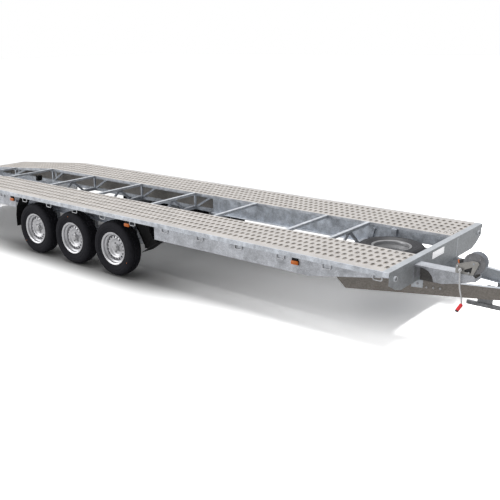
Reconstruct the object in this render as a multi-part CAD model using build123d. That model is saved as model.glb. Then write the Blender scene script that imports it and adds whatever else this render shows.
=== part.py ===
from build123d import *
from math import ceil, cos, hypot, radians, sin
import os

# A three-axle car hauler trailer with its wheels under a kinked platform of two perforated runways.
# Millimetres. +X points forward along the drawbar, +Y to the left, +Z up, and the ground is z = 0.
os.makedirs("parts", exist_ok=True)

# Platform
DECK_LENGTH = 8000.0
DECK_HALF_WIDTH = 1062.0
DECK_HEIGHT = 740.0
GAP_HALF_WIDTH = 400.0
RUNWAY_EDGE = 14.0              # rim face to the runway's outer edge
RUNWAY_SHEET = 2.5
RUNWAY_LIP = 30.0
TAIL_LENGTH = 1656.0            # sloped part of the platform
TAIL_DROP = 142.0               # its fall over that length

# Drawbar reach and tail lamps, which end the trailer's length
DRAWBAR_REACH = 1495.0          # front beam to the tip of the coupling
LAMP_DEPTH, LAMP_WIDTH, LAMP_HEIGHT = 25.0, 200.0, 90.0
LAMP_FROM_EDGE, LAMP_BELOW_DECK = 32.0, 40.0

# Side rails
RIM_DEPTH = 45.0
RIM_SHEET = 4.0
PANEL_INSET = 15.0              # rim face to panel face
PANEL_BOTTOM = 550.0
PANEL_FLANGE = 40.0
PANEL_TAPER = 780.0             # length over which the panel rises to the front corner
ARCH_AHEAD = 1399.0             # middle axle to the ends of the cut-away over the wheels
ARCH_BEHIND = 1121.0

# Front and rear beams
END_FLANGE = 65.0
BEAM_SHEET = 4.0
FRONT_BOTTOM = 522.0
CORNER_HEIGHT = 622.0           # where the front plate's end starts to slant inward
CORNER_BEND_IN, CORNER_BEND_HEIGHT = 130.0, 552.0
CORNER_RUN = 238.0              # plate's end to where the slant meets the bottom edge
REAR_DEPTH = 175.0
STAKE_FROM_END, STAKE_Z = 97.0, 662.0
STAKE_OUTER, STAKE_BORE, STAKE_LENGTH = 25.0, 19.0, 14.0
PLATE_CENTRE_Y, PLATE_CENTRE_Z = -60.0, 684.0
PLATE_WIDTH, PLATE_HEIGHT, PLATE_SHEET = 266.0, 68.0, 3.0

# Frame sections
TUBE = 40.0                     # square tube of the joists and chords
CROSS_DEPTH = 28.0              # depth of the flatter cross tubes in the gap
WEB_SHEET = 5.0
BEAM_FLANGE = 55.0
WEB_PAST_ARCH = 370.0           # the deep web ends this far behind the arch's front end
WEB_FRONT_BOTTOM = 605.0        # the web is shallower just behind the front beam
WEB_STEP_FROM_FRONT, WEB_STEP_RUN = 350.0, 70.0
OUTER_BEAM_FROM_EDGE = 262.0
OUTER_BEAM_WIDTH = 50.0
OUTER_BEAM_BOTTOM = 540.0
OUTER_BEAM_AHEAD = 986.0        # front axle to the outer beam's front end
FIRST_TUBE = 965.0              # first cross tube and the next, from the front beam
SECOND_TUBE = 1474.0
CROSS_BAYS = 5                  # equal bays from there to the kink
HANGER_FROM_FRONT = 515.0       # the extra joist that the drawbar arms hang from
BRACE_RUN = 250.0
STRUT = 24.0
STRUT_FOOT = 200.0              # foot of each lattice strut from the centre line
STIFFENER_FROM_FRONT = 661.0
STIFFENER_WIDTH, STIFFENER_DEPTH = 56.0, 25.0

# Wheels and axles
MIDDLE_AXLE_TO_KINK = 2200.0
AXLE_SPACING = 730.0
WHEEL_FROM_EDGE = 82.0          # rim face of the platform in to the wheel's centre plane
TYRE_RADIUS = 325.0
TYRE_WIDTH = 185.0
BEAD_RADIUS = 178.0
RIM_FLANGE_RADIUS = 195.0
RIM_WIDTH = 152.0
RIM_METAL = 6.0
DISC_OFFSET = 30.0              # wheel centre plane to the disc's outer face
HUB_RADIUS = 42.0
DRUM_RADIUS = 115.0
STUB_RADIUS = 20.0
RUNNING_FIT = 0.05
SEAT_GAP = 0.3
AXLE_ACROSS = 100.0             # hexagon tube, flat to flat
AXLE_WALL = 7.0
ARM_LENGTH = 165.0
ARM_DROP_ANGLE = 25.0
ARM_THICKNESS = 26.0
MOVING_CLEARANCE = 6.0

# Drawbar
ARM_ROOT_HALF_WIDTH = 468.0     # outer face of each arm where the gap ends, behind the front beam
ARM_SPREAD = 0.318              # half width lost per unit of length forward
ARM_REAR = 715.0                # rear end, behind the front beam
ARM_FRONT = 1105.0              # front end, ahead of the front beam
ARM_TOP = 522.0
ARM_REAR_DEPTH = 169.0
ARM_FRONT_DEPTH = 90.0
ARM_SHEET = 6.0
ARM_FLANGE = 50.0
RAIL_Y = 250.0                  # carrier rails below the arms
RAIL_BOTTOM, RAIL_HEIGHT, RAIL_WIDTH = 329.0, 34.0, 30.0
RAIL_AHEAD = 380.0              # front beam to the rails' rear ends
HANGER_AHEAD, HANGER_LENGTH, HANGER_SHEET = 470.0, 132.0, 6.0

# Overrun unit and coupling
DRAW_AXIS_Z = 478.0
HOUSING_RADIUS = 42.0
HOUSING_REAR, HOUSING_LENGTH = 880.0, 400.0
DRAW_TUBE_RADIUS = 25.0
BALL_RADIUS = 25.5
SOCKET_DEPTH = 28.0
BALL_FROM_TIP = 55.0

# Jockey wheel
JOCKEY_FROM_FRONT = 800.0       # ahead of the front beam
JOCKEY_OUTER, JOCKEY_WALL = 30.0, 4.0
JOCKEY_TUBE_BOTTOM, JOCKEY_TUBE_TOP = 364.0, 700.0
JOCKEY_INSERTION = 80.0         # leg inside the tube when the wheel is down
JOCKEY_CLAMP_BOTTOM, JOCKEY_CLAMP_TOP = 378.0, 418.0
JOCKEY_BEAM_AHEAD = 70.0        # tube axis to the cross member that carries the clamp
JOCKEY_FORK_TOP = 242.0
JOCKEY_PIN = 10.0
JOCKEY_WHEEL_RADIUS, JOCKEY_WHEEL_WIDTH = 100.0, 60.0
JOCKEY_TRAIL = 35.0
JOCKEY_AXLE = 8.0

# Winch
WINCH_Y = -510.0
STAND_WIDTH = 130.0
STAND_TOP = 697.0
STAND_LENGTH = 544.0
STAND_DEPTH, STAND_TIP_DEPTH = 125.0, 50.0
ROOT_PLATE, ROOT_BOTTOM = 8.0, 562.0
DRUM_X, DRUM_Z = 513.0, 800.0   # from the front beam
PINION_X, PINION_Z = 413.0, 735.0
GEAR_RADIUS = 92.0
GEAR_PLAY = 0.4
DRUM_CORE_RADIUS = 30.0
CRANK_LENGTH = 290.0
CRANK_LEAN = 8.0                # degrees forward of straight down
SHAFT_RADIUS = 8.0

# Spare wheel, ramps, small parts
SPARE_FROM_FRONT = 495.0
SPARE_SEAT = 484.0
SPARE_HANGER_Y = 376.0
RAMP_INBOARD = 170.0            # outer beam to the middle of the ramp
RAMP_WIDTH, RAMP_HEIGHT, RAMP_LENGTH = 300.0, 58.0, 2100.0
RAMP_BOTTOM = 455.0
HOOK_PITCH = 495.5
HOOK_FIRST = 105.0
HOOK_ROD = 4.5
HOOK_HALF_WIDTH = 30.0
HOOK_DROP = 42.0
FIRST_MARKER = 931.0            # from the front beam
MARKER_BOTTOM, MARKER_TOP = 634.0, 668.0
GUARD_FROM_EDGE, GUARD_WIDTH = 6.0, 180.0
GUARD_SHEET = 5.0

# Worked out from the above
OVERALL_LENGTH = LAMP_DEPTH + DECK_LENGTH + DRAWBAR_REACH
FRONT = OVERALL_LENGTH / 2 - DRAWBAR_REACH
REAR = FRONT - DECK_LENGTH
KINK_FROM_FRONT = DECK_LENGTH - TAIL_LENGTH
KINK = FRONT - KINK_FROM_FRONT
TAIL_SLOPE = TAIL_DROP / TAIL_LENGTH
MIDDLE_AXLE = KINK_FROM_FRONT - MIDDLE_AXLE_TO_KINK
ARCH_FRONT, ARCH_REAR = MIDDLE_AXLE - ARCH_AHEAD, MIDDLE_AXLE + ARCH_BEHIND
WEB_LENGTH = ARCH_FRONT + WEB_PAST_ARCH
RUNWAY_HALF_WIDTH = DECK_HALF_WIDTH - RUNWAY_EDGE
OUTER_BEAM_Y = DECK_HALF_WIDTH - OUTER_BEAM_FROM_EDGE
WHEEL_Y = DECK_HALF_WIDTH - WHEEL_FROM_EDGE
RAMP_Y = OUTER_BEAM_Y - RAMP_INBOARD
GUARD_OUTER_Y = DECK_HALF_WIDTH - GUARD_FROM_EDGE
GUARD_INNER_Y = GUARD_OUTER_Y - GUARD_WIDTH
INNER_FRONT = FRONT - END_FLANGE
SHEET_BOTTOM = DECK_HEIGHT - RUNWAY_SHEET
WEB_Y = GAP_HALF_WIDTH + RUNWAY_SHEET
FLANGE_Y = WEB_Y + BEAM_FLANGE
PANEL_Y = DECK_HALF_WIDTH - PANEL_INSET
TUBE_TOP = SHEET_BOTTOM
CROSS_PITCH = (KINK_FROM_FRONT - SECOND_TUBE) / CROSS_BAYS
TUBES = [FRONT - FIRST_TUBE] + [FRONT - SECOND_TUBE - i * CROSS_PITCH for i in range(CROSS_BAYS + 2)]
TAIL_TUBE = TUBES[-1]
STAKE_Y = PANEL_Y - STAKE_FROM_END
AXLES = [FRONT - MIDDLE_AXLE + i * AXLE_SPACING for i in (1, 0, -1)]
AXLE_NAMES = ("front", "middle", "rear")
OUTER_BEAM_FRONT = AXLES[0] + OUTER_BEAM_AHEAD
MARKERS = [FRONT - d for d in (FIRST_MARKER, MIDDLE_AXLE - 985, ARCH_REAR + 65)]
PINION_RADIUS = hypot(DRUM_X - PINION_X, DRUM_Z - PINION_Z) - GEAR_RADIUS - GEAR_PLAY


def box(x0, x1, y0, y1, z0, z1):
    """A box between two corners."""
    return Pos((x0 + x1) / 2, (y0 + y1) / 2, (z0 + z1) / 2) * Box(abs(x1 - x0), abs(y1 - y0), abs(z1 - z0))


def plate(points, y0, y1):
    """An outline of (x, z) points made solid between two y values."""
    face = make_face(Polyline(*[(x, y0, z) for x, z in points], close=True))
    return extrude(face, amount=y1 - y0, dir=(0, 1, 0))


def deck_z(x):
    """Height of the platform's surface at x."""
    return DECK_HEIGHT - max(0.0, KINK - x) * TAIL_SLOPE


def deck_strip(x_front, x_rear, top, bottom, y0, y1):
    """A band that follows the kinked surface, between two depths below it."""
    xs = [x_front] + ([KINK] if x_rear < KINK < x_front else []) + [x_rear]
    upper = [(x, deck_z(x) - top) for x in xs]
    lower = [(x, deck_z(x) - bottom) for x in reversed(xs)]
    return plate(upper + lower, y0, y1)


def cylinder_y(radius, y0, y1, x, z):
    """A cylinder along Y."""
    return Pos(x, (y0 + y1) / 2, z) * Rot(90, 0, 0) * Cylinder(radius, abs(y1 - y0))


def cylinder_x(radius, x0, x1, y, z):
    """A cylinder along X."""
    return Pos((x0 + x1) / 2, y, z) * Rot(0, 90, 0) * Cylinder(radius, abs(x1 - x0))


def cylinder_z(radius, z0, z1, x, y):
    """A cylinder along Z."""
    return Pos(x, y, (z0 + z1) / 2) * Cylinder(radius, abs(z1 - z0))


def strut(start, end, size):
    """A square bar between two points."""
    a, b = Vector(*start), Vector(*end)
    return Plane(origin=(a + b) / 2, z_dir=b - a) * Box(size, size, (b - a).length)


def both_sides(shape):
    """A left-hand shape and its mirror image on the right."""
    return {"left": shape, "right": mirror(shape, about=Plane.XZ)}


def save(name, *shapes):
    """Writes one node's solids."""
    solids = [s for shape in shapes for s in shape.solids()]
    export_step(solids[0] if len(solids) == 1 else Compound(children=solids), f"parts/{name}.step")


def save_sides(name, *shapes):
    """Writes a left-hand node and its mirror image."""
    for side in ("left", "right"):
        save(f"{name}_{side}", *[both_sides(shape)[side] for shape in shapes])


# Runway: a folded sheet with lips turned down along both edges
def runway():
    outside = deck_strip(INNER_FRONT, REAR + END_FLANGE, 0, RUNWAY_LIP, GAP_HALF_WIDTH, RUNWAY_HALF_WIDTH)
    inside = deck_strip(INNER_FRONT, REAR + END_FLANGE, RUNWAY_SHEET, RUNWAY_LIP,
                        GAP_HALF_WIDTH + RUNWAY_SHEET, RUNWAY_HALF_WIDTH - RUNWAY_SHEET)
    return outside - inside


# Side rail: one folded sheet of top flange, rim, ledge, panel and bottom flange
def side_rail():
    front = FRONT - BEAM_SHEET
    rear = REAR + BEAM_SHEET
    rim_in = DECK_HALF_WIDTH - RIM_SHEET
    panel_in = PANEL_Y - RIM_SHEET
    rail = deck_strip(FRONT, rear, 0, RIM_DEPTH, rim_in, DECK_HALF_WIDTH)
    rail += deck_strip(FRONT, rear, 0, RIM_SHEET, RUNWAY_HALF_WIDTH, rim_in)
    rail += deck_strip(front, rear, RIM_DEPTH - RIM_SHEET, RIM_DEPTH, panel_in, rim_in)
    ledge = DECK_HEIGHT - RIM_DEPTH
    corner = ledge - RIM_SHEET
    front_bottom = [(front, corner), (FRONT - PANEL_TAPER, PANEL_BOTTOM), (FRONT - ARCH_FRONT, PANEL_BOTTOM)]
    rear_bottom = [(FRONT - ARCH_REAR, PANEL_BOTTOM), (KINK, PANEL_BOTTOM),
                   (rear, deck_z(rear) - RIM_DEPTH - RIM_SHEET)]
    for bottom in (front_bottom, rear_bottom):
        top = [(x, deck_z(x) - RIM_DEPTH) for x, z in reversed(bottom)]
        rail += plate(bottom + top, panel_in, PANEL_Y)
        raised = [(x, z + RIM_SHEET) for x, z in reversed(bottom)]
        rail += plate(bottom + raised, panel_in - PANEL_FLANGE, panel_in)
    return rail


# Inner beam: a deep channel with its lower flange towards the gap, and an open truss behind it
def inner_beam():
    web_end = FRONT - WEB_LENGTH
    step = FRONT - WEB_STEP_FROM_FRONT
    outline = [(web_end, FRONT_BOTTOM), (step - WEB_STEP_RUN, FRONT_BOTTOM), (step, WEB_FRONT_BOTTOM),
               (INNER_FRONT, WEB_FRONT_BOTTOM), (INNER_FRONT, SHEET_BOTTOM), (web_end, SHEET_BOTTOM)]
    web = plate(outline, WEB_Y, WEB_Y + WEB_SHEET)
    web += box(web_end, INNER_FRONT, WEB_Y, FLANGE_Y, SHEET_BOTTOM - WEB_SHEET, SHEET_BOTTOM)
    web += box(web_end, step - WEB_STEP_RUN, WEB_Y - BEAM_FLANGE, WEB_Y,
               FRONT_BOTTOM, FRONT_BOTTOM + WEB_SHEET)
    web += box(INNER_FRONT, FRONT - BEAM_SHEET, WEB_Y, WEB_Y + WEB_SHEET,
               WEB_FRONT_BOTTOM, DECK_HEIGHT - BEAM_SHEET)
    brace = FRONT - FIRST_TUBE
    web += strut((brace + TUBE / 2 + STRUT, WEB_Y - STRUT / 2, FRONT_BOTTOM + WEB_SHEET + STRUT / 2),
                 (brace + 80, WEB_Y - STRUT / 2, DECK_HEIGHT - RUNWAY_LIP - STRUT), STRUT)
    stiffener = FRONT - STIFFENER_FROM_FRONT
    web += box(stiffener - STIFFENER_WIDTH / 2, stiffener + STIFFENER_WIDTH / 2,
               WEB_Y - STIFFENER_DEPTH, WEB_Y, FRONT_BOTTOM, DECK_HEIGHT - RUNWAY_LIP)
    chord_out = WEB_Y + TUBE
    chord_top = FRONT_BOTTOM + TUBE
    tail_end = REAR + BEAM_SHEET
    truss = deck_strip(web_end, REAR + END_FLANGE, RUNWAY_SHEET, RUNWAY_SHEET + TUBE, WEB_Y, chord_out)
    truss += plate([(REAR + END_FLANGE, deck_z(REAR + END_FLANGE) - RIM_SHEET),
                    (tail_end, deck_z(tail_end) - RIM_SHEET),
                    (tail_end, deck_z(tail_end) - RUNWAY_SHEET - TUBE),
                    (REAR + END_FLANGE, deck_z(REAR + END_FLANGE) - RUNWAY_SHEET - TUBE)], WEB_Y, chord_out)
    truss += box(TAIL_TUBE - TUBE / 2, web_end, WEB_Y, chord_out, FRONT_BOTTOM, chord_top)
    brace_y = WEB_Y + STRUT / 2
    for x in [x for x in TUBES if x < web_end]:
        truss += box(x - STRUT / 2, x + STRUT / 2, WEB_Y, WEB_Y + STRUT,
                     chord_top, deck_z(x - STRUT / 2) - TUBE)
        truss += strut((x, brace_y, chord_top - TUBE / 2),
                       (x + BRACE_RUN, brace_y, deck_z(x + BRACE_RUN) - TUBE), STRUT)
    return web + truss


# Underframe: joists from the inner beam to the side rail, on the outer beam that carries the axles
def underframe():
    panel_in = PANEL_Y - RIM_SHEET
    joists = [FRONT - HANGER_FROM_FRONT] + TUBES + [REAR + END_FLANGE + TUBE / 2]
    frame = box(KINK - TUBE / 2, OUTER_BEAM_FRONT, OUTER_BEAM_Y, OUTER_BEAM_Y + OUTER_BEAM_WIDTH,
                OUTER_BEAM_BOTTOM, TUBE_TOP - TUBE)
    hollow = box(KINK - TUBE, OUTER_BEAM_FRONT + TUBE, OUTER_BEAM_Y + WEB_SHEET, OUTER_BEAM_Y + OUTER_BEAM_WIDTH,
                 OUTER_BEAM_BOTTOM + WEB_SHEET, TUBE_TOP - TUBE - WEB_SHEET)
    frame -= hollow
    bars = []
    for x in joists:
        inner = FLANGE_Y if x > FRONT - WEB_LENGTH else WEB_Y + TUBE
        bars.append(deck_strip(x + TUBE / 2, x - TUBE / 2, RUNWAY_SHEET, RUNWAY_SHEET + TUBE, inner, panel_in))
    carried = [b for b, x in zip(bars, joists) if KINK - 1 <= x <= OUTER_BEAM_FRONT]
    free = [b for b, x in zip(bars, joists) if not KINK - 1 <= x <= OUTER_BEAM_FRONT]
    for bar in carried:
        frame += bar
    return [frame] + free


# Cross tubes between the inner beams, at platform level
def cross_tubes():
    return [deck_strip(x + TUBE / 2, x - TUBE / 2, RUNWAY_SHEET, RUNWAY_SHEET + CROSS_DEPTH,
                       -GAP_HALF_WIDTH, GAP_HALF_WIDTH) for x in TUBES]


# Lattice frame under a cross tube: lower chord and two struts that meet under the tube's middle
def lattice(x):
    low, high = FRONT_BOTTOM + WEB_SHEET, TUBE_TOP - CROSS_DEPTH
    frame = box(x - TUBE / 2, x + TUBE / 2, -WEB_Y, WEB_Y, low, low + TUBE)
    for side in (-1, 1):
        frame += strut((x, side * STRUT_FOOT, low + TUBE / 2), (x, side * STRUT, high - STRUT / 2), STRUT)
    frame += box(x - STRUT / 2, x + STRUT / 2, -TUBE, TUBE, high - STRUT, high)
    return frame


# Front beam: folded plate with slanted lower corners, flanges, and a stake socket at each end
def front_beam():
    half = [(PANEL_Y, DECK_HEIGHT), (PANEL_Y, CORNER_HEIGHT), (PANEL_Y - CORNER_BEND_IN, CORNER_BEND_HEIGHT),
            (PANEL_Y - CORNER_RUN, FRONT_BOTTOM)]
    points = half + [(-y, z) for y, z in reversed(half)]
    face = make_face(Polyline(*[(FRONT, y, z) for y, z in points], close=True))
    beam = extrude(face, amount=BEAM_SHEET, dir=(-1, 0, 0))
    beam += box(INNER_FRONT, FRONT, -RUNWAY_HALF_WIDTH, RUNWAY_HALF_WIDTH, DECK_HEIGHT - BEAM_SHEET, DECK_HEIGHT)
    flange_end = PANEL_Y - CORNER_RUN
    beam += box(INNER_FRONT, FRONT, -flange_end, flange_end, FRONT_BOTTOM, FRONT_BOTTOM + BEAM_SHEET)
    for side in (-1, 1):
        beam += cylinder_x(STAKE_OUTER, FRONT - BEAM_SHEET, FRONT + STAKE_LENGTH, side * STAKE_Y, STAKE_Z)
        beam -= cylinder_x(STAKE_BORE, FRONT - 2 * BEAM_SHEET, FRONT + 2 * STAKE_LENGTH, side * STAKE_Y, STAKE_Z)
    beam += box(FRONT, FRONT + PLATE_SHEET, PLATE_CENTRE_Y - PLATE_WIDTH / 2, PLATE_CENTRE_Y + PLATE_WIDTH / 2,
                PLATE_CENTRE_Z - PLATE_HEIGHT / 2, PLATE_CENTRE_Z + PLATE_HEIGHT / 2)
    return beam


# Rear beam: a plate with a mouth for each ramp, a top flange and a slanted lower corner at each end
def rear_beam():
    top = deck_z(REAR)
    bottom = top - REAR_DEPTH
    half = [(DECK_HALF_WIDTH, top), (DECK_HALF_WIDTH, bottom + 40), (DECK_HALF_WIDTH - 60, bottom)]
    points = half + [(-y, z) for y, z in reversed(half)]
    beam = extrude(make_face(Polyline(*[(REAR, y, z) for y, z in points], close=True)),
                   amount=BEAM_SHEET, dir=(1, 0, 0))
    beam += deck_strip(REAR + END_FLANGE, REAR, 0, RUNWAY_SHEET, -RUNWAY_HALF_WIDTH, RUNWAY_HALF_WIDTH)
    for side in (-1, 1):
        y0, y1 = side * (RAMP_Y - RAMP_WIDTH / 2 - 10), side * (RAMP_Y + RAMP_WIDTH / 2 + 10)
        beam -= box(REAR - 10, REAR + 10, y0, y1, RAMP_BOTTOM - 8, RAMP_BOTTOM + RAMP_HEIGHT + 8)
    return beam


# Tail lamp on the rear beam, outboard of the ramp
def tail_lamp():
    outer, top = DECK_HALF_WIDTH - LAMP_FROM_EDGE, deck_z(REAR) - LAMP_BELOW_DECK
    lens = box(REAR - LAMP_DEPTH, REAR, outer - LAMP_WIDTH, outer, top - LAMP_HEIGHT, top)
    return fillet(lens.edges().filter_by(Axis.X), 12)


# Wheel pieces, turned about Y; sign is +1 on the left and -1 on the right
def ring(points, x, y, z, sign):
    """Turns an outline of (radius, outward distance) points about an axis along Y."""
    face = make_face(Polyline(*[(r, sign * d, 0) for r, d in points], close=True))
    return Pos(x, y, z) * revolve(face, Axis.Y)


def tyre(x, y, z, sign):
    half, tread, shoulder = TYRE_WIDTH / 2, TYRE_WIDTH * 0.36, TYRE_RADIUS - 9
    seat = RIM_WIDTH / 2 - RIM_METAL - SEAT_GAP
    lip = RIM_FLANGE_RADIUS + 3
    points = [(BEAD_RADIUS, -seat), (lip, -seat), (lip + 10, -seat - 9), (BEAD_RADIUS + 66, -half),
              (BEAD_RADIUS + 108, -half + 5), (shoulder, -half + 18), (TYRE_RADIUS, -tread),
              (TYRE_RADIUS, tread), (shoulder, half - 18), (BEAD_RADIUS + 108, half - 5),
              (BEAD_RADIUS + 66, half), (lip + 10, seat + 9), (lip, seat), (BEAD_RADIUS, seat)]
    return ring(points, x, y, z, sign)


def rim(x, y, z, sign, hub=True):
    well, seat, edge = BEAD_RADIUS - 22, BEAD_RADIUS - SEAT_GAP, RIM_WIDTH / 2
    inner = edge - RIM_METAL
    barrel = [(RIM_FLANGE_RADIUS, edge + 2), (RIM_FLANGE_RADIUS, edge - 3), (RIM_FLANGE_RADIUS - 3, inner),
              (seat, inner), (seat, inner - 22),
              (well, inner - 42), (well, -inner + 60), (seat, -inner + 30), (seat, -inner),
              (RIM_FLANGE_RADIUS - 3, -inner), (RIM_FLANGE_RADIUS, -edge + 3), (RIM_FLANGE_RADIUS, -edge - 2),
              (seat - RIM_METAL, -edge),
              (seat - RIM_METAL, -inner + 30), (well - RIM_METAL, -inner + 60), (well - RIM_METAL, inner - 42),
              (seat - RIM_METAL, inner - 20), (seat - RIM_METAL, edge)]
    wheel = ring(barrel, x, y, z, sign)
    disc_out = DISC_OFFSET
    disc = [(well - RIM_METAL, disc_out - 34), (well - RIM_METAL, disc_out - 20), (well - 26, disc_out + 2),
            (well - 48, disc_out + 4), (92, disc_out - 8), (80, disc_out - 14), (HUB_RADIUS, disc_out - 14),
            (HUB_RADIUS, disc_out - 20), (82, disc_out - 20), (94, disc_out - 14),
            (well - 50, disc_out - 2), (well - 30, disc_out - 4)]
    wheel += ring(disc, x, y, z, sign)
    if not hub:
        return wheel
    bore = STUB_RADIUS + RUNNING_FIT
    drum_back = -(WHEEL_Y - drum_face())
    hub_points = [(bore, drum_back), (DRUM_RADIUS, drum_back), (DRUM_RADIUS, disc_out - 26),
                  (90, disc_out - 20), (HUB_RADIUS, disc_out - 20), (HUB_RADIUS, disc_out + 12), (30, disc_out + 20),
                  (0, disc_out + 20), (0, disc_out + 10), (bore, disc_out + 10)]
    return wheel + ring(hub_points, x, y, z, sign)


def arm_inner():
    """Inner face of the trailing arm, beside the axle tube's end."""
    return OUTER_BEAM_Y + OUTER_BEAM_WIDTH + 2


def drum_face():
    """Inner face of the brake drum, clear of the trailing arm."""
    return arm_inner() + ARM_THICKNESS + MOVING_CLEARANCE


# Axle: hexagonal torsion tube, brackets up to the outer beams, trailing arms and stub axles
def axle(wheel_x):
    x = wheel_x + ARM_LENGTH * cos(radians(ARM_DROP_ANGLE))
    z = TYRE_RADIUS + ARM_LENGTH * sin(radians(ARM_DROP_ANGLE))
    outer = AXLE_ACROSS / 2 / cos(radians(30))
    inner = (AXLE_ACROSS / 2 - AXLE_WALL) / cos(radians(30))
    length = 2 * arm_inner()
    turn = Pos(x, 0, z) * Rot(90, 0, 0)
    beam = turn * extrude(RegularPolygon(outer, 6, rotation=30), amount=length / 2, both=True)
    beam -= turn * extrude(RegularPolygon(inner, 6, rotation=30), amount=length / 2 - 30, both=True)
    for side in (-1, 1):
        y0, y1 = side * OUTER_BEAM_Y, side * (OUTER_BEAM_Y + OUTER_BEAM_WIDTH)
        beam += box(x - 55, x + 55, y0, y1, z + AXLE_ACROSS / 2 - 1, OUTER_BEAM_BOTTOM)
        arm_face = Plane(origin=((x + wheel_x) / 2, side * arm_inner(), (z + TYRE_RADIUS) / 2),
                         x_dir=(wheel_x - x, 0, TYRE_RADIUS - z), z_dir=(0, side, 0))
        beam += extrude(arm_face * SlotCenterToCenter(ARM_LENGTH, 84), amount=ARM_THICKNESS)
        beam += cylinder_y(STUB_RADIUS, side * (arm_inner() + ARM_THICKNESS - 1),
                           side * (WHEEL_Y + DISC_OFFSET + 4), wheel_x, TYRE_RADIUS)
    return beam


# Drawbar arm: a tapered channel, open inward, from under the platform to the overrun unit
def drawbar_arm():
    def outer_y(ahead):
        """Outer face at a distance ahead of the front beam."""
        return ARM_ROOT_HALF_WIDTH - ARM_SPREAD * (ahead + END_FLANGE)

    def bottom_z(ahead):
        share = (ahead + ARM_REAR) / (ARM_FRONT + ARM_REAR)
        return ARM_TOP - ARM_REAR_DEPTH + share * (ARM_REAR_DEPTH - ARM_FRONT_DEPTH)

    def band(y_in, y_out, profile):
        """Sheet between two offsets inward from the outer face, cut to a side profile."""
        a, b = -ARM_REAR, ARM_FRONT
        plan = [(FRONT + a, outer_y(a) - y_out), (FRONT + b, outer_y(b) - y_out),
                (FRONT + b, outer_y(b) - y_in), (FRONT + a, outer_y(a) - y_in)]
        prism = extrude(make_face(Polyline(*[(x, y, ARM_TOP - 250) for x, y in plan], close=True)), amount=300)
        return prism & plate(profile, 0, DECK_HALF_WIDTH)
    a, b = -ARM_REAR, ARM_FRONT
    slant = 90.0
    web = [(FRONT + a, ARM_TOP), (FRONT + b, ARM_TOP), (FRONT + b, bottom_z(b)),
           (FRONT + a + slant, bottom_z(a + slant)), (FRONT + a, ARM_TOP - 60)]
    upper = [(FRONT + a, ARM_TOP), (FRONT + b, ARM_TOP), (FRONT + b, ARM_TOP - ARM_SHEET),
             (FRONT + a, ARM_TOP - ARM_SHEET)]
    lower = [(FRONT + a + slant, bottom_z(a + slant)), (FRONT + b, bottom_z(b)),
             (FRONT + b, bottom_z(b) + ARM_SHEET), (FRONT + a + slant, bottom_z(a + slant) + ARM_SHEET)]
    arm = band(0, ARM_SHEET, web) + band(0, ARM_FLANGE, upper) + band(0, ARM_FLANGE, lower)
    hanger_x = FRONT - HANGER_FROM_FRONT
    hanger_y = outer_y(-HANGER_FROM_FRONT) - ARM_FLANGE / 2
    return arm + box(hanger_x - TUBE / 2, hanger_x + TUBE / 2, hanger_y - TUBE / 2, hanger_y + TUBE / 2,
                     ARM_TOP - ARM_SHEET, TUBE_TOP - TUBE)


# Carrier below the arms: two rails with hanger plates and a cross member that holds the jockey tube
def drawbar_carrier():
    clamp = FRONT + JOCKEY_FROM_FRONT
    cross = clamp + JOCKEY_BEAM_AHEAD
    top = RAIL_BOTTOM + RAIL_HEIGHT
    half = RAIL_WIDTH / 2
    carrier = box(cross, cross + TUBE, -RAIL_Y - half, RAIL_Y + half, RAIL_BOTTOM, top)
    slope = (ARM_REAR_DEPTH - ARM_FRONT_DEPTH) / (ARM_FRONT + ARM_REAR)
    ends = (HANGER_AHEAD, HANGER_AHEAD + HANGER_LENGTH)
    under = [(FRONT + a, ARM_TOP - ARM_REAR_DEPTH + slope * (a + ARM_REAR)) for a in ends]
    outline = [(FRONT + a, top) for a in ends] + under[::-1]
    for y in (-RAIL_Y, RAIL_Y):
        carrier += box(FRONT + RAIL_AHEAD, cross, y - half, y + half, RAIL_BOTTOM, top)
        carrier += plate(outline, y - HANGER_SHEET / 2, y + HANGER_SHEET / 2)
    carrier += box(cross, cross + TUBE, -14, 14, top, JOCKEY_CLAMP_TOP)
    carrier += box(clamp, cross, -14, 14, JOCKEY_CLAMP_BOTTOM, JOCKEY_CLAMP_TOP)
    carrier += cylinder_z(JOCKEY_OUTER + 8, JOCKEY_CLAMP_BOTTOM, JOCKEY_CLAMP_TOP, clamp, 0)
    return carrier - cylinder_z(JOCKEY_OUTER, JOCKEY_CLAMP_BOTTOM - 1, JOCKEY_CLAMP_TOP + 1, clamp, 0)


# Overrun unit: round housing between two bolting plates, bellows and draw tube, with the brake lever
def overrun_housing():
    rear = FRONT + HOUSING_REAR
    front = rear + HOUSING_LENGTH
    unit = cylinder_x(HOUSING_RADIUS, rear, front - 70, 0, DRAW_AXIS_Z)
    unit += box(rear + 40, FRONT + ARM_FRONT, -110, 110, ARM_TOP, ARM_TOP + 8)
    unit += box(rear + 60, FRONT + ARM_FRONT, -20, 20, DRAW_AXIS_Z, ARM_TOP)
    for i in range(4):
        x = front - 70 + i * 17.5
        unit += cylinder_x(36 if i % 2 else 30, x, x + 17.5, 0, DRAW_AXIS_Z)
    unit += cylinder_x(DRAW_TUBE_RADIUS, front, FRONT + DRAWBAR_REACH - BALL_FROM_TIP - 70, 0, DRAW_AXIS_Z)
    unit += box(rear + 250, rear + 290, 30, 48, DRAW_AXIS_Z - 20, ARM_TOP + 70)
    lever = Pos(rear + 270, 56, ARM_TOP + 50) * Rot(0, 38, 0) * Pos(-160, 0, 0) * Box(360, 12, 26)
    return unit + lever + box(rear + 255, rear + 285, 48, 62, ARM_TOP + 30, ARM_TOP + 70)


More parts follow.
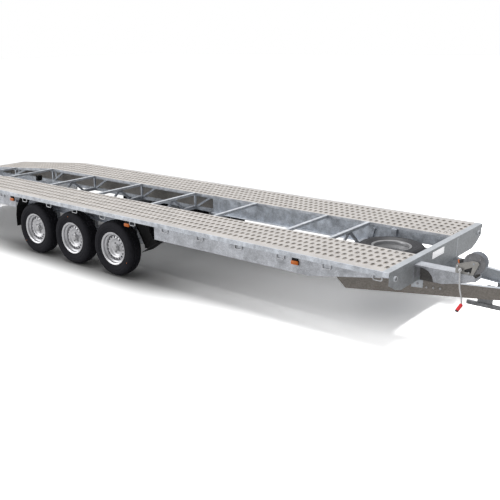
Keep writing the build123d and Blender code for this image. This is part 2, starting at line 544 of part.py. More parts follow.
# Coupling head: a body over the ball socket, a neck on the draw tube and a lifting handle
def coupling_head():
    ball_x = FRONT + DRAWBAR_REACH - BALL_FROM_TIP
    ball_z = DRAW_AXIS_Z
    neck = box(ball_x - 130, ball_x, -32, 32, ball_z - SOCKET_DEPTH, ball_z + 38)
    neck -= cylinder_x(DRAW_TUBE_RADIUS, ball_x - 140, ball_x - 70, 0, DRAW_AXIS_Z)
    head = cylinder_z(42, ball_z - SOCKET_DEPTH, ball_z + 38, ball_x, 0)
    head += cylinder_z(22, ball_z - SOCKET_DEPTH, ball_z + 10, ball_x + BALL_FROM_TIP - 22, 0)
    head += neck
    head -= cylinder_z(BALL_RADIUS, ball_z - SOCKET_DEPTH - 1, ball_z, ball_x, 0)
    head -= Pos(ball_x, 0, ball_z) * Sphere(BALL_RADIUS)
    handle = plate([(ball_x + 10, ball_z + 38), (ball_x + 40, ball_z + 60), (ball_x - 40, ball_z + 92),
                    (ball_x - 130, ball_z + 92), (ball_x - 130, ball_z + 78), (ball_x - 50, ball_z + 74),
                    (ball_x - 30, ball_z + 37)], -16, 16)
    return head + handle


# Jockey wheel: outer tube with its crank, sliding leg, swivelling fork, wheel
def jockey_tube():
    x = FRONT + JOCKEY_FROM_FRONT
    tube = cylinder_z(JOCKEY_OUTER, JOCKEY_TUBE_BOTTOM, JOCKEY_TUBE_TOP, x, 0)
    tube -= cylinder_z(JOCKEY_OUTER - JOCKEY_WALL, JOCKEY_TUBE_BOTTOM - 1, JOCKEY_TUBE_TOP - 30, x, 0)
    tube += cylinder_z(9, JOCKEY_TUBE_TOP, JOCKEY_TUBE_TOP + 30, x, 0)
    tube += box(x - 130, x + 12, -10, 10, JOCKEY_TUBE_TOP + 22, JOCKEY_TUBE_TOP + 30)
    return tube + cylinder_z(11, JOCKEY_TUBE_TOP + 30, JOCKEY_TUBE_TOP + 110, x - 118, 0)


def jockey_leg():
    x = FRONT + JOCKEY_FROM_FRONT
    radius = JOCKEY_OUTER - JOCKEY_WALL - RUNNING_FIT
    leg = cylinder_z(radius, JOCKEY_FORK_TOP, JOCKEY_TUBE_BOTTOM + JOCKEY_INSERTION, x, 0)
    return leg - cylinder_z(JOCKEY_PIN + RUNNING_FIT, JOCKEY_FORK_TOP - 1, JOCKEY_FORK_TOP + 40, x, 0)


def jockey_fork():
    x = FRONT + JOCKEY_FROM_FRONT
    wheel_x = x - JOCKEY_TRAIL
    top = JOCKEY_FORK_TOP - SEAT_GAP
    half = JOCKEY_WHEEL_WIDTH / 2 + MOVING_CLEARANCE
    fork = box(x - 40, x + 32, -half - 5, half + 5, top - 8, top)
    for side in (-1, 1):
        fork += plate([(x - 40, top - 4), (x + 32, top - 4), (wheel_x + 16, JOCKEY_WHEEL_RADIUS - 14),
                       (wheel_x - 16, JOCKEY_WHEEL_RADIUS - 14)], side * half, side * (half + 5))
    return fork + cylinder_y(JOCKEY_AXLE, -half - 8, half + 8, wheel_x, JOCKEY_WHEEL_RADIUS)


def jockey_pin():
    """Swivel pin that stands on the fork and turns in the leg's bore."""
    return cylinder_z(JOCKEY_PIN, JOCKEY_FORK_TOP - SEAT_GAP, JOCKEY_FORK_TOP + 36,
                      FRONT + JOCKEY_FROM_FRONT, 0)


def jockey_wheel():
    half = JOCKEY_WHEEL_WIDTH / 2
    bore = JOCKEY_AXLE + RUNNING_FIT
    points = [(bore, -half), (24, -half), (30, -half + 14), (62, -half + 14), (70, -half + 4),
              (JOCKEY_WHEEL_RADIUS - 8, -half + 4), (JOCKEY_WHEEL_RADIUS, -half + 16),
              (JOCKEY_WHEEL_RADIUS, half - 16), (JOCKEY_WHEEL_RADIUS - 8, half - 4), (70, half - 4),
              (62, half - 14), (30, half - 14), (24, half), (bore, half)]
    return ring(points, FRONT + JOCKEY_FROM_FRONT - JOCKEY_TRAIL, 0, JOCKEY_WHEEL_RADIUS, 1)


# Winch stand: a cantilever on a root plate; the outer cheek is cut to an arch at the root
def winch_stand():
    y0, y1 = WINCH_Y - STAND_WIDTH / 2, WINCH_Y + STAND_WIDTH / 2
    keel = STAND_TOP - STAND_DEPTH
    tip = [(FRONT + STAND_LENGTH - 25, STAND_TOP), (FRONT + STAND_LENGTH, STAND_TOP - 20),
           (FRONT + STAND_LENGTH, STAND_TOP - STAND_TIP_DEPTH),
           (FRONT + STAND_LENGTH - 165, STAND_TOP - 98), (FRONT + 265, keel)]
    arch = [(FRONT + x, z) for x, z in [(185, keel), (172, STAND_TOP - 78), (135, STAND_TOP - 36),
                                        (85, STAND_TOP - 16), (0, STAND_TOP - 14)]]
    stand = plate([(FRONT, STAND_TOP)] + tip + arch, y0, y0 + BEAM_SHEET)
    stand += plate([(FRONT, STAND_TOP)] + tip + [(FRONT, keel)], y1 - BEAM_SHEET, y1)
    stand += box(FRONT, FRONT + STAND_LENGTH - 25, y0, y1, STAND_TOP - BEAM_SHEET, STAND_TOP)
    stand += box(FRONT + STAND_LENGTH - BEAM_SHEET, FRONT + STAND_LENGTH, y0, y1,
                 STAND_TOP - STAND_TIP_DEPTH, STAND_TOP - 20)
    stand += box(FRONT + 185, FRONT + 265, y0, y1, keel, keel + BEAM_SHEET)
    return stand + box(FRONT, FRONT + ROOT_PLATE, y0 - ROOT_PLATE, y1 + ROOT_PLATE, ROOT_BOTTOM, STAND_TOP)


def winch_frame():
    y0, y1 = WINCH_Y - 58, WINCH_Y + 58
    rear, front = PINION_X - 48, DRUM_X + 32
    sill = STAND_TOP + 20
    outline = [(rear, STAND_TOP), (front - 30, STAND_TOP), (front + 15, DRUM_Z + 6), (front, DRUM_Z + 24),
               (DRUM_X - 13, DRUM_Z + 24), (rear + 7, PINION_Z + 41), (rear, PINION_Z + 33)]
    window = [(PINION_X + 27, sill), (DRUM_X - 16, sill), (DRUM_X - 8, DRUM_Z - 30), (PINION_X + 27, PINION_Z)]
    frame = plate([(FRONT + x, z) for x, z in outline], y0, y0 + 5)
    frame += plate([(FRONT + x, z) for x, z in outline], y1 - 5, y1)
    frame -= plate([(FRONT + x, z) for x, z in window], y0 - 10, y1 + 10)
    frame += box(FRONT + rear, FRONT + DRUM_X, y0, y1, STAND_TOP, STAND_TOP + 5)
    frame += box(FRONT + rear, FRONT + rear + 5, y0, y1, STAND_TOP, PINION_Z + 33)
    for x, z in ((DRUM_X, DRUM_Z), (PINION_X, PINION_Z)):
        frame -= cylinder_y(SHAFT_RADIUS + RUNNING_FIT, y0 - 10, y1 + 10, FRONT + x, z)
    return frame


def winch_drum():
    x = FRONT + DRUM_X
    y0, y1 = WINCH_Y - 47, WINCH_Y + 47
    drum = cylinder_y(DRUM_CORE_RADIUS, y0, y1, x, DRUM_Z) + cylinder_y(SHAFT_RADIUS, y0 - 14, y1 + 14, x, DRUM_Z)
    drum += cylinder_y(GEAR_RADIUS, y0, y0 + 8, x, DRUM_Z)
    return drum + cylinder_y(GEAR_RADIUS - 12, y1 - 5, y1, x, DRUM_Z)


def winch_crank():
    x = FRONT + PINION_X
    y_in, y_out = WINCH_Y + 64, WINCH_Y - 88
    lean = radians(CRANK_LEAN)
    end = Vector(x + CRANK_LENGTH * sin(lean), y_out + 5, PINION_Z - CRANK_LENGTH * cos(lean))
    crank = cylinder_y(SHAFT_RADIUS, y_out, y_in, x, PINION_Z)
    crank += cylinder_y(PINION_RADIUS, WINCH_Y - 47, WINCH_Y - 37, x, PINION_Z)
    crank += cylinder_y(16, y_out, y_out + 14, x, PINION_Z)
    crank += strut((x, y_out + 5, PINION_Z), tuple(end), 10)
    grip_axis = Vector(-0.25, -0.68, -0.69)
    start = end - grip_axis * 6
    crank += Plane(origin=start, z_dir=grip_axis) * Pos(0, 0, 50) * Cylinder(13, 100)
    return crank


# Spare wheel's carrier: a bar hung below the inner beams, its clamping rod, and the lattice behind it
def spare_carrier():
    x = FRONT - SPARE_FROM_FRONT
    outer = SPARE_HANGER_Y + WEB_SHEET
    bar = box(x - 30, x + 30, -outer, outer, SPARE_SEAT - TUBE, SPARE_SEAT)
    for side in (-1, 1):
        bar += box(x - 30, x + 30, side * SPARE_HANGER_Y, side * outer, SPARE_SEAT - 1, FRONT_BOTTOM)
    clamp_z = SPARE_SEAT + TYRE_WIDTH / 2 - (DISC_OFFSET - 20) + SEAT_GAP
    bar += cylinder_z(9, SPARE_SEAT - 2, clamp_z + 45, x, 0) + cylinder_z(58, clamp_z, clamp_z + 6, x, 0)
    return [bar, lattice(TUBES[0])]


def turned_flat(shape, x, z):
    """Lays a wheel made at the origin about Y on its side, outer face down."""
    return Pos(x, 0, z) * Rot(-90, 0, 0) * shape


# Guards at the wheels: a bent sheet ahead of the front wheel, a curved flap behind the rear one
def bent_sheet(points, y0, y1):
    """Sheet folded along a path of (x, z) points and thickened to the left of it."""
    path = [Vector(x, 0, z) for x, z in points]
    normals = [(b - a).normalized().cross(Vector(0, 1, 0)) for a, b in zip(path, path[1:])]
    before, after = normals[:1] + normals, normals + normals[-1:]
    offset = [p + (m + n) * (GUARD_SHEET / (1 + m.dot(n))) for p, m, n in zip(path, before, after)]
    return plate([(p.X, p.Z) for p in path + offset[::-1]], y0, y1)


def front_guard():
    top = DECK_HEIGHT - RIM_DEPTH - SEAT_GAP
    arch = FRONT - ARCH_FRONT
    line = [(-190, 368), (40, 524), (-20, 560), (-70, 640), (-80, top)]
    return bent_sheet([(arch + x, z) for x, z in line], GUARD_INNER_Y, GUARD_OUTER_Y)


def rear_flap():
    top = DECK_HEIGHT - RIM_DEPTH - SEAT_GAP
    arch = FRONT - ARCH_REAR
    line = [(-3, 300), (-3, 450), (25, 570), (100, top - 20), (100, top)]
    return bent_sheet([(arch + x, z) for x, z in line], GUARD_INNER_Y, GUARD_OUTER_Y)


# Tie hook: a U-shaped rod under the rim's ledge
def tie_hook(x):
    y = (PANEL_Y + DECK_HALF_WIDTH) / 2
    top = DECK_HEIGHT - RIM_DEPTH
    low, bend = top - HOOK_DROP, 14
    path = Polyline((x - HOOK_HALF_WIDTH, y, top), (x - HOOK_HALF_WIDTH, y, low), (x + HOOK_HALF_WIDTH, y, low),
                    (x + HOOK_HALF_WIDTH, y, top))
    path = fillet(path.vertices().sort_by(Axis.Z)[0:2], bend)
    profile = Plane(origin=path @ 0, z_dir=path % 0) * RegularPolygon(HOOK_ROD, 8)
    return sweep(profile, path=path)


def marker_lamp(x):
    y = PANEL_Y
    ledge = DECK_HEIGHT - RIM_DEPTH
    lamp = box(x - 30, x + 30, y, y + 24, MARKER_BOTTOM, MARKER_TOP)
    return lamp + box(x - 22, x + 22, y, y + 14, MARKER_TOP, ledge - SEAT_GAP)


# Ramp: two side rails and rungs, stored flat in guides under the tail
def ramp():
    x0, x1 = REAR + 8, REAR + 8 + RAMP_LENGTH
    y0, y1 = RAMP_Y - RAMP_WIDTH / 2, RAMP_Y + RAMP_WIDTH / 2
    z0, z1 = RAMP_BOTTOM, RAMP_BOTTOM + RAMP_HEIGHT
    body = box(x0, x1, y0, y0 + 30, z0, z1) + box(x0, x1, y1 - 30, y1, z0, z1)
    count = ceil(RAMP_LENGTH / 300)
    for i in range(count + 1):
        x = x0 + 20 + i * (RAMP_LENGTH - 40) / count
        body += box(x - 20, x + 20, y0 + 29, y1 - 29, z1 - 30, z1)
    return body


def ramp_guide():
    x0, x1 = REAR + BEAM_SHEET, KINK + 20
    y0, y1 = RAMP_Y - RAMP_WIDTH / 2 - 6, RAMP_Y + RAMP_WIDTH / 2 + 6
    z0, z1 = RAMP_BOTTOM - 5.3, RAMP_BOTTOM + RAMP_HEIGHT + 6
    guide = box(x0, x1, y0 - 4, y0, z0, z1) + box(x0, x1, y0 - 4, y0 + 28, z0, z0 + 5)
    guide += box(x0, x1, y1, y1 + 4, z0, z1) + box(x0, x1, y1 - 28, y1 + 4, z0, z0 + 5)
    for x in (REAR + END_FLANGE + TUBE / 2, TAIL_TUBE, KINK):
        for y in (y0 - 4, y1):
            top = deck_z(x - 15) - RUNWAY_SHEET - TUBE
            guide += box(x - 15, x + 15, y, y + 4, z1 - 4, min(top, deck_z(x + 15) - RUNWAY_SHEET - TUBE))
        guide += box(x - 15, x + 15, y0 - 4, y1 + 4, z0 - 4, z0)
    return guide


save_sides("runway", runway())
save_sides("side_rail", side_rail())
save_sides("inner_beam", inner_beam())
save_sides("underframe", *underframe())
save("cross_tubes", *cross_tubes())
save("cross_lattices", *[lattice(x) for x in TUBES[3:-2]])
save("front_beam", front_beam())
save("rear_beam", rear_beam())
save_sides("tail_lamp", tail_lamp())
for name, wheel_x in zip(AXLE_NAMES, AXLES):
    save(f"axle_{name}", axle(wheel_x))
    for side, sign in (("left", 1), ("right", -1)):
        save(f"tyre_{name}_{side}", tyre(wheel_x, sign * WHEEL_Y, TYRE_RADIUS, sign))
        save(f"rim_{name}_{side}", rim(wheel_x, sign * WHEEL_Y, TYRE_RADIUS, sign))
save_sides("drawbar_arm", drawbar_arm())
save("drawbar_carrier", drawbar_carrier())
save("overrun_housing", overrun_housing())
save("coupling_head", coupling_head())
save("jockey_tube", jockey_tube())
save("jockey_leg", jockey_leg())
save("jockey_fork", jockey_fork())
save("jockey_pin", jockey_pin())
save("jockey_wheel", jockey_wheel())
save("winch_stand", winch_stand())
save("winch_frame", winch_frame())
save("winch_drum", winch_drum())
save("winch_crank", winch_crank())
spare_x, spare_z = FRONT - SPARE_FROM_FRONT, SPARE_SEAT + TYRE_WIDTH / 2
save("spare_tyre", turned_flat(tyre(0, 0, 0, 1), spare_x, spare_z))
save("spare_rim", turned_flat(rim(0, 0, 0, 1, hub=False), spare_x, spare_z))
save("spare_carrier", *spare_carrier())
save_sides("front_guard", front_guard())
save_sides("rear_flap", rear_flap())
hook_count = int((KINK_FROM_FRONT - HOOK_FIRST) // HOOK_PITCH) + 1
hooks = [FRONT - HOOK_FIRST - i * HOOK_PITCH for i in range(hook_count)]
save_sides("tie_hooks", *[tie_hook(x) for x in hooks])
markers = [marker_lamp(x) for x in MARKERS]
save("marker_lamps", *markers, *[mirror(m, about=Plane.XZ) for m in markers])
save_sides("ramp", ramp())
save_sides("ramp_guide", ramp_guide())
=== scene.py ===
import math

import bmesh
import bpy
from mathutils import Matrix, Vector


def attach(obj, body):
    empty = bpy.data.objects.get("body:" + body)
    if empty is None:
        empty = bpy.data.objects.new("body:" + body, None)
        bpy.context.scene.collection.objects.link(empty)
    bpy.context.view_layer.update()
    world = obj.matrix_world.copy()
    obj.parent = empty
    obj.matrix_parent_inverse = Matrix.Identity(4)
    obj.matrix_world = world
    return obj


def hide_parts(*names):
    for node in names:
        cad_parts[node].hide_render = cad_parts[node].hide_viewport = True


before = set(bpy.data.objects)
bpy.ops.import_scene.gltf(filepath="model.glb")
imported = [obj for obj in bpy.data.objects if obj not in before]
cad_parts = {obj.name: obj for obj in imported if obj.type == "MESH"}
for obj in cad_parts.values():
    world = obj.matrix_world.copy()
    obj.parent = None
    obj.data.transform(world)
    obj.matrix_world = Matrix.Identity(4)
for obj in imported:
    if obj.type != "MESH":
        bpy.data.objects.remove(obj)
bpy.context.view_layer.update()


# Camera
# The photograph was taken from ahead of the front right corner, a little above the platform, with
# a normal lens. The frame crops the coupling on the right and the end of the tail on the left.
IMAGE_SIZE, SENSOR_WIDTH = 500, 36.0
FOCAL_PIXELS = 711.945
AXIS_U, AXIS_V = 188.235, 261.427       # the pixel where the lens's axis meets the picture
CAMERA_PLACE = (5.7655, -6.3734, 2.6443)
YAW, PITCH, ROLL = 0.729, -0.305, -0.016
scene = bpy.context.scene
camera = bpy.data.objects.new("camera", bpy.data.cameras.new("camera"))
scene.collection.objects.link(camera)
camera.data.sensor_width = SENSOR_WIDTH
camera.data.lens = FOCAL_PIXELS / IMAGE_SIZE * SENSOR_WIDTH
camera.data.shift_x = (IMAGE_SIZE / 2 - AXIS_U) / IMAGE_SIZE
camera.data.shift_y = (AXIS_V - IMAGE_SIZE / 2) / IMAGE_SIZE
camera.data.clip_end = 300
ahead = Vector((-math.sin(YAW) * math.cos(PITCH), math.cos(YAW) * math.cos(PITCH), math.sin(PITCH)))
level = Vector((math.cos(YAW), math.sin(YAW), 0))
upright = level.cross(ahead)
right = math.cos(ROLL) * level + math.sin(ROLL) * upright
up = -math.sin(ROLL) * level + math.cos(ROLL) * upright
axes = Matrix((right, up, -ahead)).transposed().to_4x4()
camera.matrix_world = Matrix.Translation(CAMERA_PLACE) @ axes
scene.camera = camera


# Studio floor and light
# A white paper floor without a visible edge, lit by a broad soft lamp overhead and by the pale room around.
# The lamps cast the trailer's shadow on it, and its camera colour adds painted shadow at the near wheels
# and painted light in front.
FLOOR_SIZE, FLOOR_GREY = 160, 0.55
WHEELS_X, WHEELS_Y = -0.95, -0.98       # middle of the near wheels' contact shadow
PAINTED_SHADOW_DEPTH = 0.62
ROOM_LIGHT = 0.38
scene.view_settings.view_transform = "Standard"


def feed(tree, node, inputs):
    """Gives a node's inputs their values, or links them to other nodes' outputs."""
    for key, value in inputs.items():
        if isinstance(value, bpy.types.NodeSocket):
            tree.links.new(value, node.inputs[key])
        else:
            node.inputs[key].default_value = value


def add_node(tree, kind, inputs=None, **settings):
    """A new node with its settings and inputs."""
    node = tree.nodes.new(kind)
    for name, value in settings.items():
        setattr(node, name, value)
    feed(tree, node, inputs or {})
    return node


def maths(tree, operation, first, second):
    """One arithmetic step in a node tree."""
    return add_node(tree, "ShaderNodeMath", {0: first, 1: second}, operation=operation).outputs[0]


bpy.ops.mesh.primitive_plane_add(size=FLOOR_SIZE)
floor = bpy.context.object
floor.name = "studio_floor"
paper = bpy.data.materials.new("white_paper")
paper.use_nodes = True
floor_tree = paper.node_tree
floor_tree.nodes.clear()
path = add_node(floor_tree, "ShaderNodeLightPath").outputs
spot = add_node(floor_tree, "ShaderNodeTexCoord").outputs["Object"]
spot = add_node(floor_tree, "ShaderNodeSeparateXYZ", {"Vector": spot}).outputs


def floor_fade(value, start, end, low, high):
    """Smooth change of tone between two distances."""
    span = {"Value": value, "From Min": start, "From Max": end, "To Min": low, "To Max": high}
    fade = add_node(floor_tree, "ShaderNodeMapRange", span, interpolation_type="SMOOTHSTEP")
    return fade.outputs["Result"]


def floor_distance(axis, middle):
    """Distance along one axis from the middle of the contact shadow."""
    return maths(floor_tree, "ABSOLUTE", maths(floor_tree, "SUBTRACT", spot[axis], middle), 0)


# Painted shadow: the floor's colour for camera rays darkens along the near wheels.
along = floor_fade(floor_distance("X", WHEELS_X), 0.9, 2.1, 1, 0)
across = floor_fade(floor_distance("Y", WHEELS_Y), 0.05, 0.50, 1, 0)
painted_wheel_shadow = maths(floor_tree, "MULTIPLY", maths(floor_tree, "MULTIPLY", along, across), PAINTED_SHADOW_DEPTH)
painted_wheel_shadow = maths(floor_tree, "SUBTRACT", 1.0, painted_wheel_shadow)
# Painted light: the floor's colour for camera rays turns paler towards the front.
front = floor_fade(spot["X"], 0.4, 3.2, 0.82, 2.1)
tone = maths(floor_tree, "MULTIPLY", painted_wheel_shadow, front)
tone = add_node(floor_tree, "ShaderNodeCombineColor", {"Red": tone, "Green": tone, "Blue": tone})
seen = add_node(floor_tree, "ShaderNodeMix",
                {"Factor": path["Is Camera Ray"], "A": (FLOOR_GREY, FLOOR_GREY, FLOOR_GREY, 1),
                 "B": tone.outputs["Color"]}, data_type="RGBA")
diffuse = add_node(floor_tree, "ShaderNodeBsdfDiffuse", {"Color": seen.outputs["Result"]})
add_node(floor_tree, "ShaderNodeOutputMaterial", {"Surface": diffuse.outputs["BSDF"]})
floor.data.materials.append(paper)

# An unseen sheet under the gap shades the floor there.
bpy.ops.mesh.primitive_plane_add(size=1, location=(-0.6, 0.0, 0.12))
shade = bpy.context.object
shade.name = "floor_shade"
shade.scale = (7.4, 1.25, 1)
for ray in ("camera", "diffuse", "glossy", "transmission"):
    setattr(shade, "visible_" + ray, False)

world = bpy.data.worlds.new("pale_room")
scene.world = world
world.use_nodes = True
room_tree = world.node_tree
room_tree.nodes.clear()
path = add_node(room_tree, "ShaderNodeLightPath").outputs
direct = maths(room_tree, "MAXIMUM", path["Is Camera Ray"], path["Is Transmission Ray"])
strength = add_node(room_tree, "ShaderNodeMapRange", {"Value": direct, "To Min": ROOM_LIGHT, "To Max": 1.0})
background = add_node(room_tree, "ShaderNodeBackground",
                      {"Color": (1, 1, 1, 1), "Strength": strength.outputs["Result"]})
add_node(room_tree, "ShaderNodeOutputWorld", {"Surface": background.outputs["Background"]})

for name, energy, spread, elevation, azimuth in (("overhead_lamp", 3.2, 38, 78, 150),
                                                 ("side_lamp", 1.7, 50, 8, 222)):
    lamp = bpy.data.objects.new(name, bpy.data.lights.new(name, "SUN"))
    lamp.data.energy = energy
    lamp.data.angle = math.radians(spread)
    rise, bearing = math.radians(elevation), math.radians(azimuth)
    level = math.cos(rise)
    towards = Vector((level * math.cos(bearing), level * math.sin(bearing), math.sin(rise)))
    lamp.rotation_euler = towards.to_track_quat("Z", "Y").to_euler()
    scene.collection.objects.link(lamp)


# Side rails
# Each long side is one folded sheet of hot-dip galvanised steel: a rim around the runway's edge, a
# ledge, and a deep panel that is cut away over the wheels. The zinc shows a fine cloudy spangle.
SIDES = (("left", 1), ("right", -1))
DECK_Z, KINK_X, TAIL_SLOPE = 0.740, -3.079, 0.142 / 1.656
RIM_DEPTH = 0.048
# Painted light: faces that look up are mixed towards this pale colour.
TOP_LIGHT_COLOUR = (0.66, 0.69, 0.74, 1)    # pale zinc on faces that look up


def new_material(name):
    """A new material with its node tree and its shader."""
    material = bpy.data.materials.new(name)
    material.use_nodes = True
    return material, material.node_tree, material.node_tree.nodes["Principled BSDF"]


def two_tones(tree, factor, stops):
    """A ramp between two colours, given as (position, colour) stops."""
    ramp = add_node(tree, "ShaderNodeValToRGB", {"Fac": factor})
    for element, (position, colour) in zip(ramp.color_ramp.elements, stops):
        element.position = position
        element.color = (*colour, 1)
    return ramp.outputs["Color"]


def galvanised(name, colour, cloud=0.10, spangle=0.05, roughness=0.46, metallic=0.35, size=1.0,
               painted_top_light=0.35):
    """Hot-dip zinc: grey crystals in cloudy patches, with painted light on faces that look up, and slightly
    uneven gloss.
    """
    zinc, tree, shader = new_material(name)
    place = add_node(tree, "ShaderNodeTexCoord").outputs["Object"]
    patches = add_node(tree, "ShaderNodeTexNoise", {"Vector": place, "Scale": 5.5 / size, "Detail": 5.0,
                                                    "Roughness": 0.62}).outputs["Fac"]
    crystals = add_node(tree, "ShaderNodeTexVoronoi", {"Vector": place, "Scale": 95.0 / size})
    fine = add_node(tree, "ShaderNodeTexNoise", {"Vector": place, "Scale": 240.0 / size, "Detail": 2.0})
    clouds = two_tones(tree, patches, ((0.30, [c * (1 - 2.2 * cloud) for c in colour]),
                                       (0.72, [min(1, c * (1 + cloud)) for c in colour])))
    grey = add_node(tree, "ShaderNodeRGBToBW", {"Color": crystals.outputs["Color"]}).outputs["Val"]
    grain = add_node(tree, "ShaderNodeMix", {"Factor": spangle * 4, "A": clouds, "B": grey},
                     data_type="RGBA", blend_type="OVERLAY").outputs["Result"]
    normal = add_node(tree, "ShaderNodeNewGeometry").outputs["Normal"]
    upward = add_node(tree, "ShaderNodeSeparateXYZ", {"Vector": normal}).outputs["Z"]
    # Painted light: the more a face looks up, the paler it turns.
    top_light_share = add_node(tree, "ShaderNodeMapRange", {"Value": upward, "From Min": 0.70, "From Max": 0.95,
                                                  "To Max": painted_top_light}).outputs["Result"]
    pale = add_node(tree, "ShaderNodeMix", {"Factor": top_light_share, "A": grain, "B": TOP_LIGHT_COLOUR},
                    data_type="RGBA")
    gloss = add_node(tree, "ShaderNodeMapRange", {"Value": patches, "To Min": roughness - 0.10,
                                                  "To Max": roughness + 0.12})
    bump = add_node(tree, "ShaderNodeBump", {"Strength": 0.12, "Distance": 0.002,
                                             "Height": fine.outputs["Fac"]})
    feed(tree, shader, {"Metallic": metallic, "Base Color": pale.outputs["Result"],
                        "Roughness": gloss.outputs["Result"], "Normal": bump.outputs["Normal"]})
    return zinc


def deck_z(x):
    """Height of the platform's surface."""
    return DECK_Z - max(0.0, KINK_X - x) * TAIL_SLOPE


def finish(material, *names):
    """Gives CAD nodes their material."""
    for name in names:
        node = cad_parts[name]
        if not node.material_slots:
            node.data.materials.append(material)
        for held in node.material_slots:
            held.material = material


rail_zinc = galvanised("rail_zinc", (0.47, 0.485, 0.52), cloud=0.19, spangle=0.07, size=0.55)
finish(rail_zinc, "side_rail_left", "side_rail_right")
# Painted light: the rim's faces along the runway's edge get a paler copy of the rail's zinc.
rim_zinc = galvanised("rim_zinc", (0.58, 0.61, 0.66), cloud=0.18, spangle=0.07, size=0.4)
for side_name, _ in SIDES:
    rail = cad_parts["side_rail_" + side_name].data
    rail.materials.append(rim_zinc)
    for face in rail.polygons:
        corners = [rail.vertices[v].co for v in face.vertices]
        if min(corner.z - deck_z(corner.x) for corner in corners) > -RIM_DEPTH:
            face.material_index = 1


# Inner beams, cross tubes and lattices
# The gap between the runways is lined by deep folded webs in front and open trusses behind, tied
# by square tubes at platform height. Struts below the tubes carry them down to a lower chord.
web_zinc = galvanised("web_zinc", (0.56, 0.60, 0.66), cloud=0.24, spangle=0.07, size=0.55)
tube_zinc = galvanised("tube_zinc", (0.62, 0.65, 0.70), cloud=0.18, size=0.4)
finish(web_zinc, "inner_beam_left", "inner_beam_right")
finish(tube_zinc, "cross_tubes")
# Painted shade: the struts under the tubes and the spare carrier get a darker copy of the tubes' zinc.
lattice_zinc = galvanised("lattice_zinc", (0.36, 0.38, 0.42), cloud=0.15, size=0.4)
finish(lattice_zinc, "cross_lattices", "spare_carrier")


# Underframe
# Joists run from the inner beams out to the side rails under each runway. Over the wheels they
# rest on a deep hollow beam, which carries the axles.
under_zinc = galvanised("under_zinc", (0.58, 0.62, 0.69), cloud=0.22, spangle=0.08)
finish(under_zinc, "underframe_left", "underframe_right")


# Front and rear beams
# Folded plates close the platform at both ends. The front one has slanted lower corners, a stake
# socket at each end and a blank white plate; the rear one has a mouth for each stored ramp.
front_zinc = galvanised("front_zinc", (0.40, 0.42, 0.44), cloud=0.08)
rear_zinc = galvanised("rear_zinc", (0.45, 0.47, 0.50), cloud=0.10)
finish(front_zinc, "front_beam")
finish(rear_zinc, "rear_beam")


# Runways
# Each runway is a galvanised sheet with five rows of raised, punched holes for grip. The sheet
# follows the kink of the platform, and its edges are folded down.
HOLE_PITCH_X, HOLE_PITCH_Y = 0.06854, 0.113
HOLES_ALONG, HOLES_ACROSS = 115, 5
FIRST_HOLE_X, FIRST_HOLE_Y = 3.178, 0.470
RUNWAY_FRONT, RUNWAY_REAR = 3.200, -4.670
SHEET, LIP = 0.0025, 0.030
EDGE_IN, EDGE_OUT, EDGE_BEND = 0.400, 1.048, 0.0015
HOLE_HALF_X, HOLE_HALF_Y = 0.0095, 0.0265
COLLAR = ((0.0105, 0.0), (0.0050, 0.0042), (0.0010, 0.0050), (0.0, 0.0036), (0.0, -SHEET))

runway_steel = galvanised("runway_steel", (0.545, 0.522, 0.505), cloud=0.04, spangle=0.02, roughness=0.5,
                          painted_top_light=0)
# The raised collars around the holes get a darker, browner zinc of their own.
collar_steel = galvanised("collar_steel", (0.36, 0.33, 0.30), cloud=0.10, spangle=0.02, roughness=0.5,
                          painted_top_light=0)


def as_mesh(mesh, name, *materials):
    """A mesh with its materials, from a bmesh that is done."""
    data = bpy.data.meshes.new(name)
    mesh.to_mesh(data)
    mesh.free()
    for material in materials:
        data.materials.append(material)
    return data


def punched_cell():
    """One hole with its raised rim in a rectangle of sheet, centred on the origin."""
    mesh = bmesh.new()
    half_x, half_y = HOLE_PITCH_X / 2, HOLE_PITCH_Y / 2
    corners = [(half_x, half_y), (-half_x, half_y), (-half_x, -half_y), (half_x, -half_y)]
    border = []
    for (x0, y0), (x1, y1) in zip(corners, corners[1:] + corners[:1]):
        border += [(x0 + (x1 - x0) * k / 3, y0 + (y1 - y0) * k / 3) for k in range(3)]
    turn = [math.radians(45 + 30 * k) for k in range(12)]
    levels = [[(x, y, 0.0) for x, y in border]]
    for collar, height in COLLAR:
        levels.append([((HOLE_HALF_X + collar) * math.cos(a), (HOLE_HALF_Y + collar) * math.sin(a), height)
                       for a in turn])
    levels.append([(x, y, -SHEET) for x, y in border])
    rings = [[mesh.verts.new(p) for p in level] for level in levels]
    collar_faces = mesh.faces.layers.bool.new("collar")
    for number, (outer, inner) in enumerate(zip(rings, rings[1:])):
        for k in range(12):
            face = mesh.faces.new((outer[k], outer[(k + 1) % 12], inner[(k + 1) % 12], inner[k]))
            face[collar_faces] = 0 < number < 5
    return as_mesh(mesh, "punched_cell")


def new_group(name, inputs):
    """A Geometry Nodes tree with (name, kind, value) inputs, and the outputs of its input node."""
    tree = bpy.data.node_groups.new(name, "GeometryNodeTree")
    tree.interface.new_socket("Geometry", in_out="INPUT", socket_type="NodeSocketGeometry")
    for title, kind, value in inputs:
        socket = tree.interface.new_socket(title, in_out="INPUT", socket_type="NodeSocket" + kind)
        if value is not None:
            socket.default_value = value
    tree.interface.new_socket("Geometry", in_out="OUTPUT", socket_type="NodeSocketGeometry")
    return tree, add_node(tree, "NodeGroupInput").outputs


def set_inputs(modifier, tree, **values):
    """Sets a modifier's inputs, named with _ for a space, by their sockets' identifiers."""
    for socket in tree.interface.items_tree:
        key = socket.name.replace(" ", "_").lower()
        if socket.in_out == "INPUT" and key in values:
            modifier[socket.identifier] = values[key]


def made_plain(piece):
    """Turns the modifiers' result into the piece's own mesh."""
    depsgraph = bpy.context.evaluated_depsgraph_get()
    result = bpy.data.meshes.new_from_object(piece.evaluated_get(depsgraph), depsgraph=depsgraph)
    piece.modifiers.clear()
    piece.data = result
    return piece


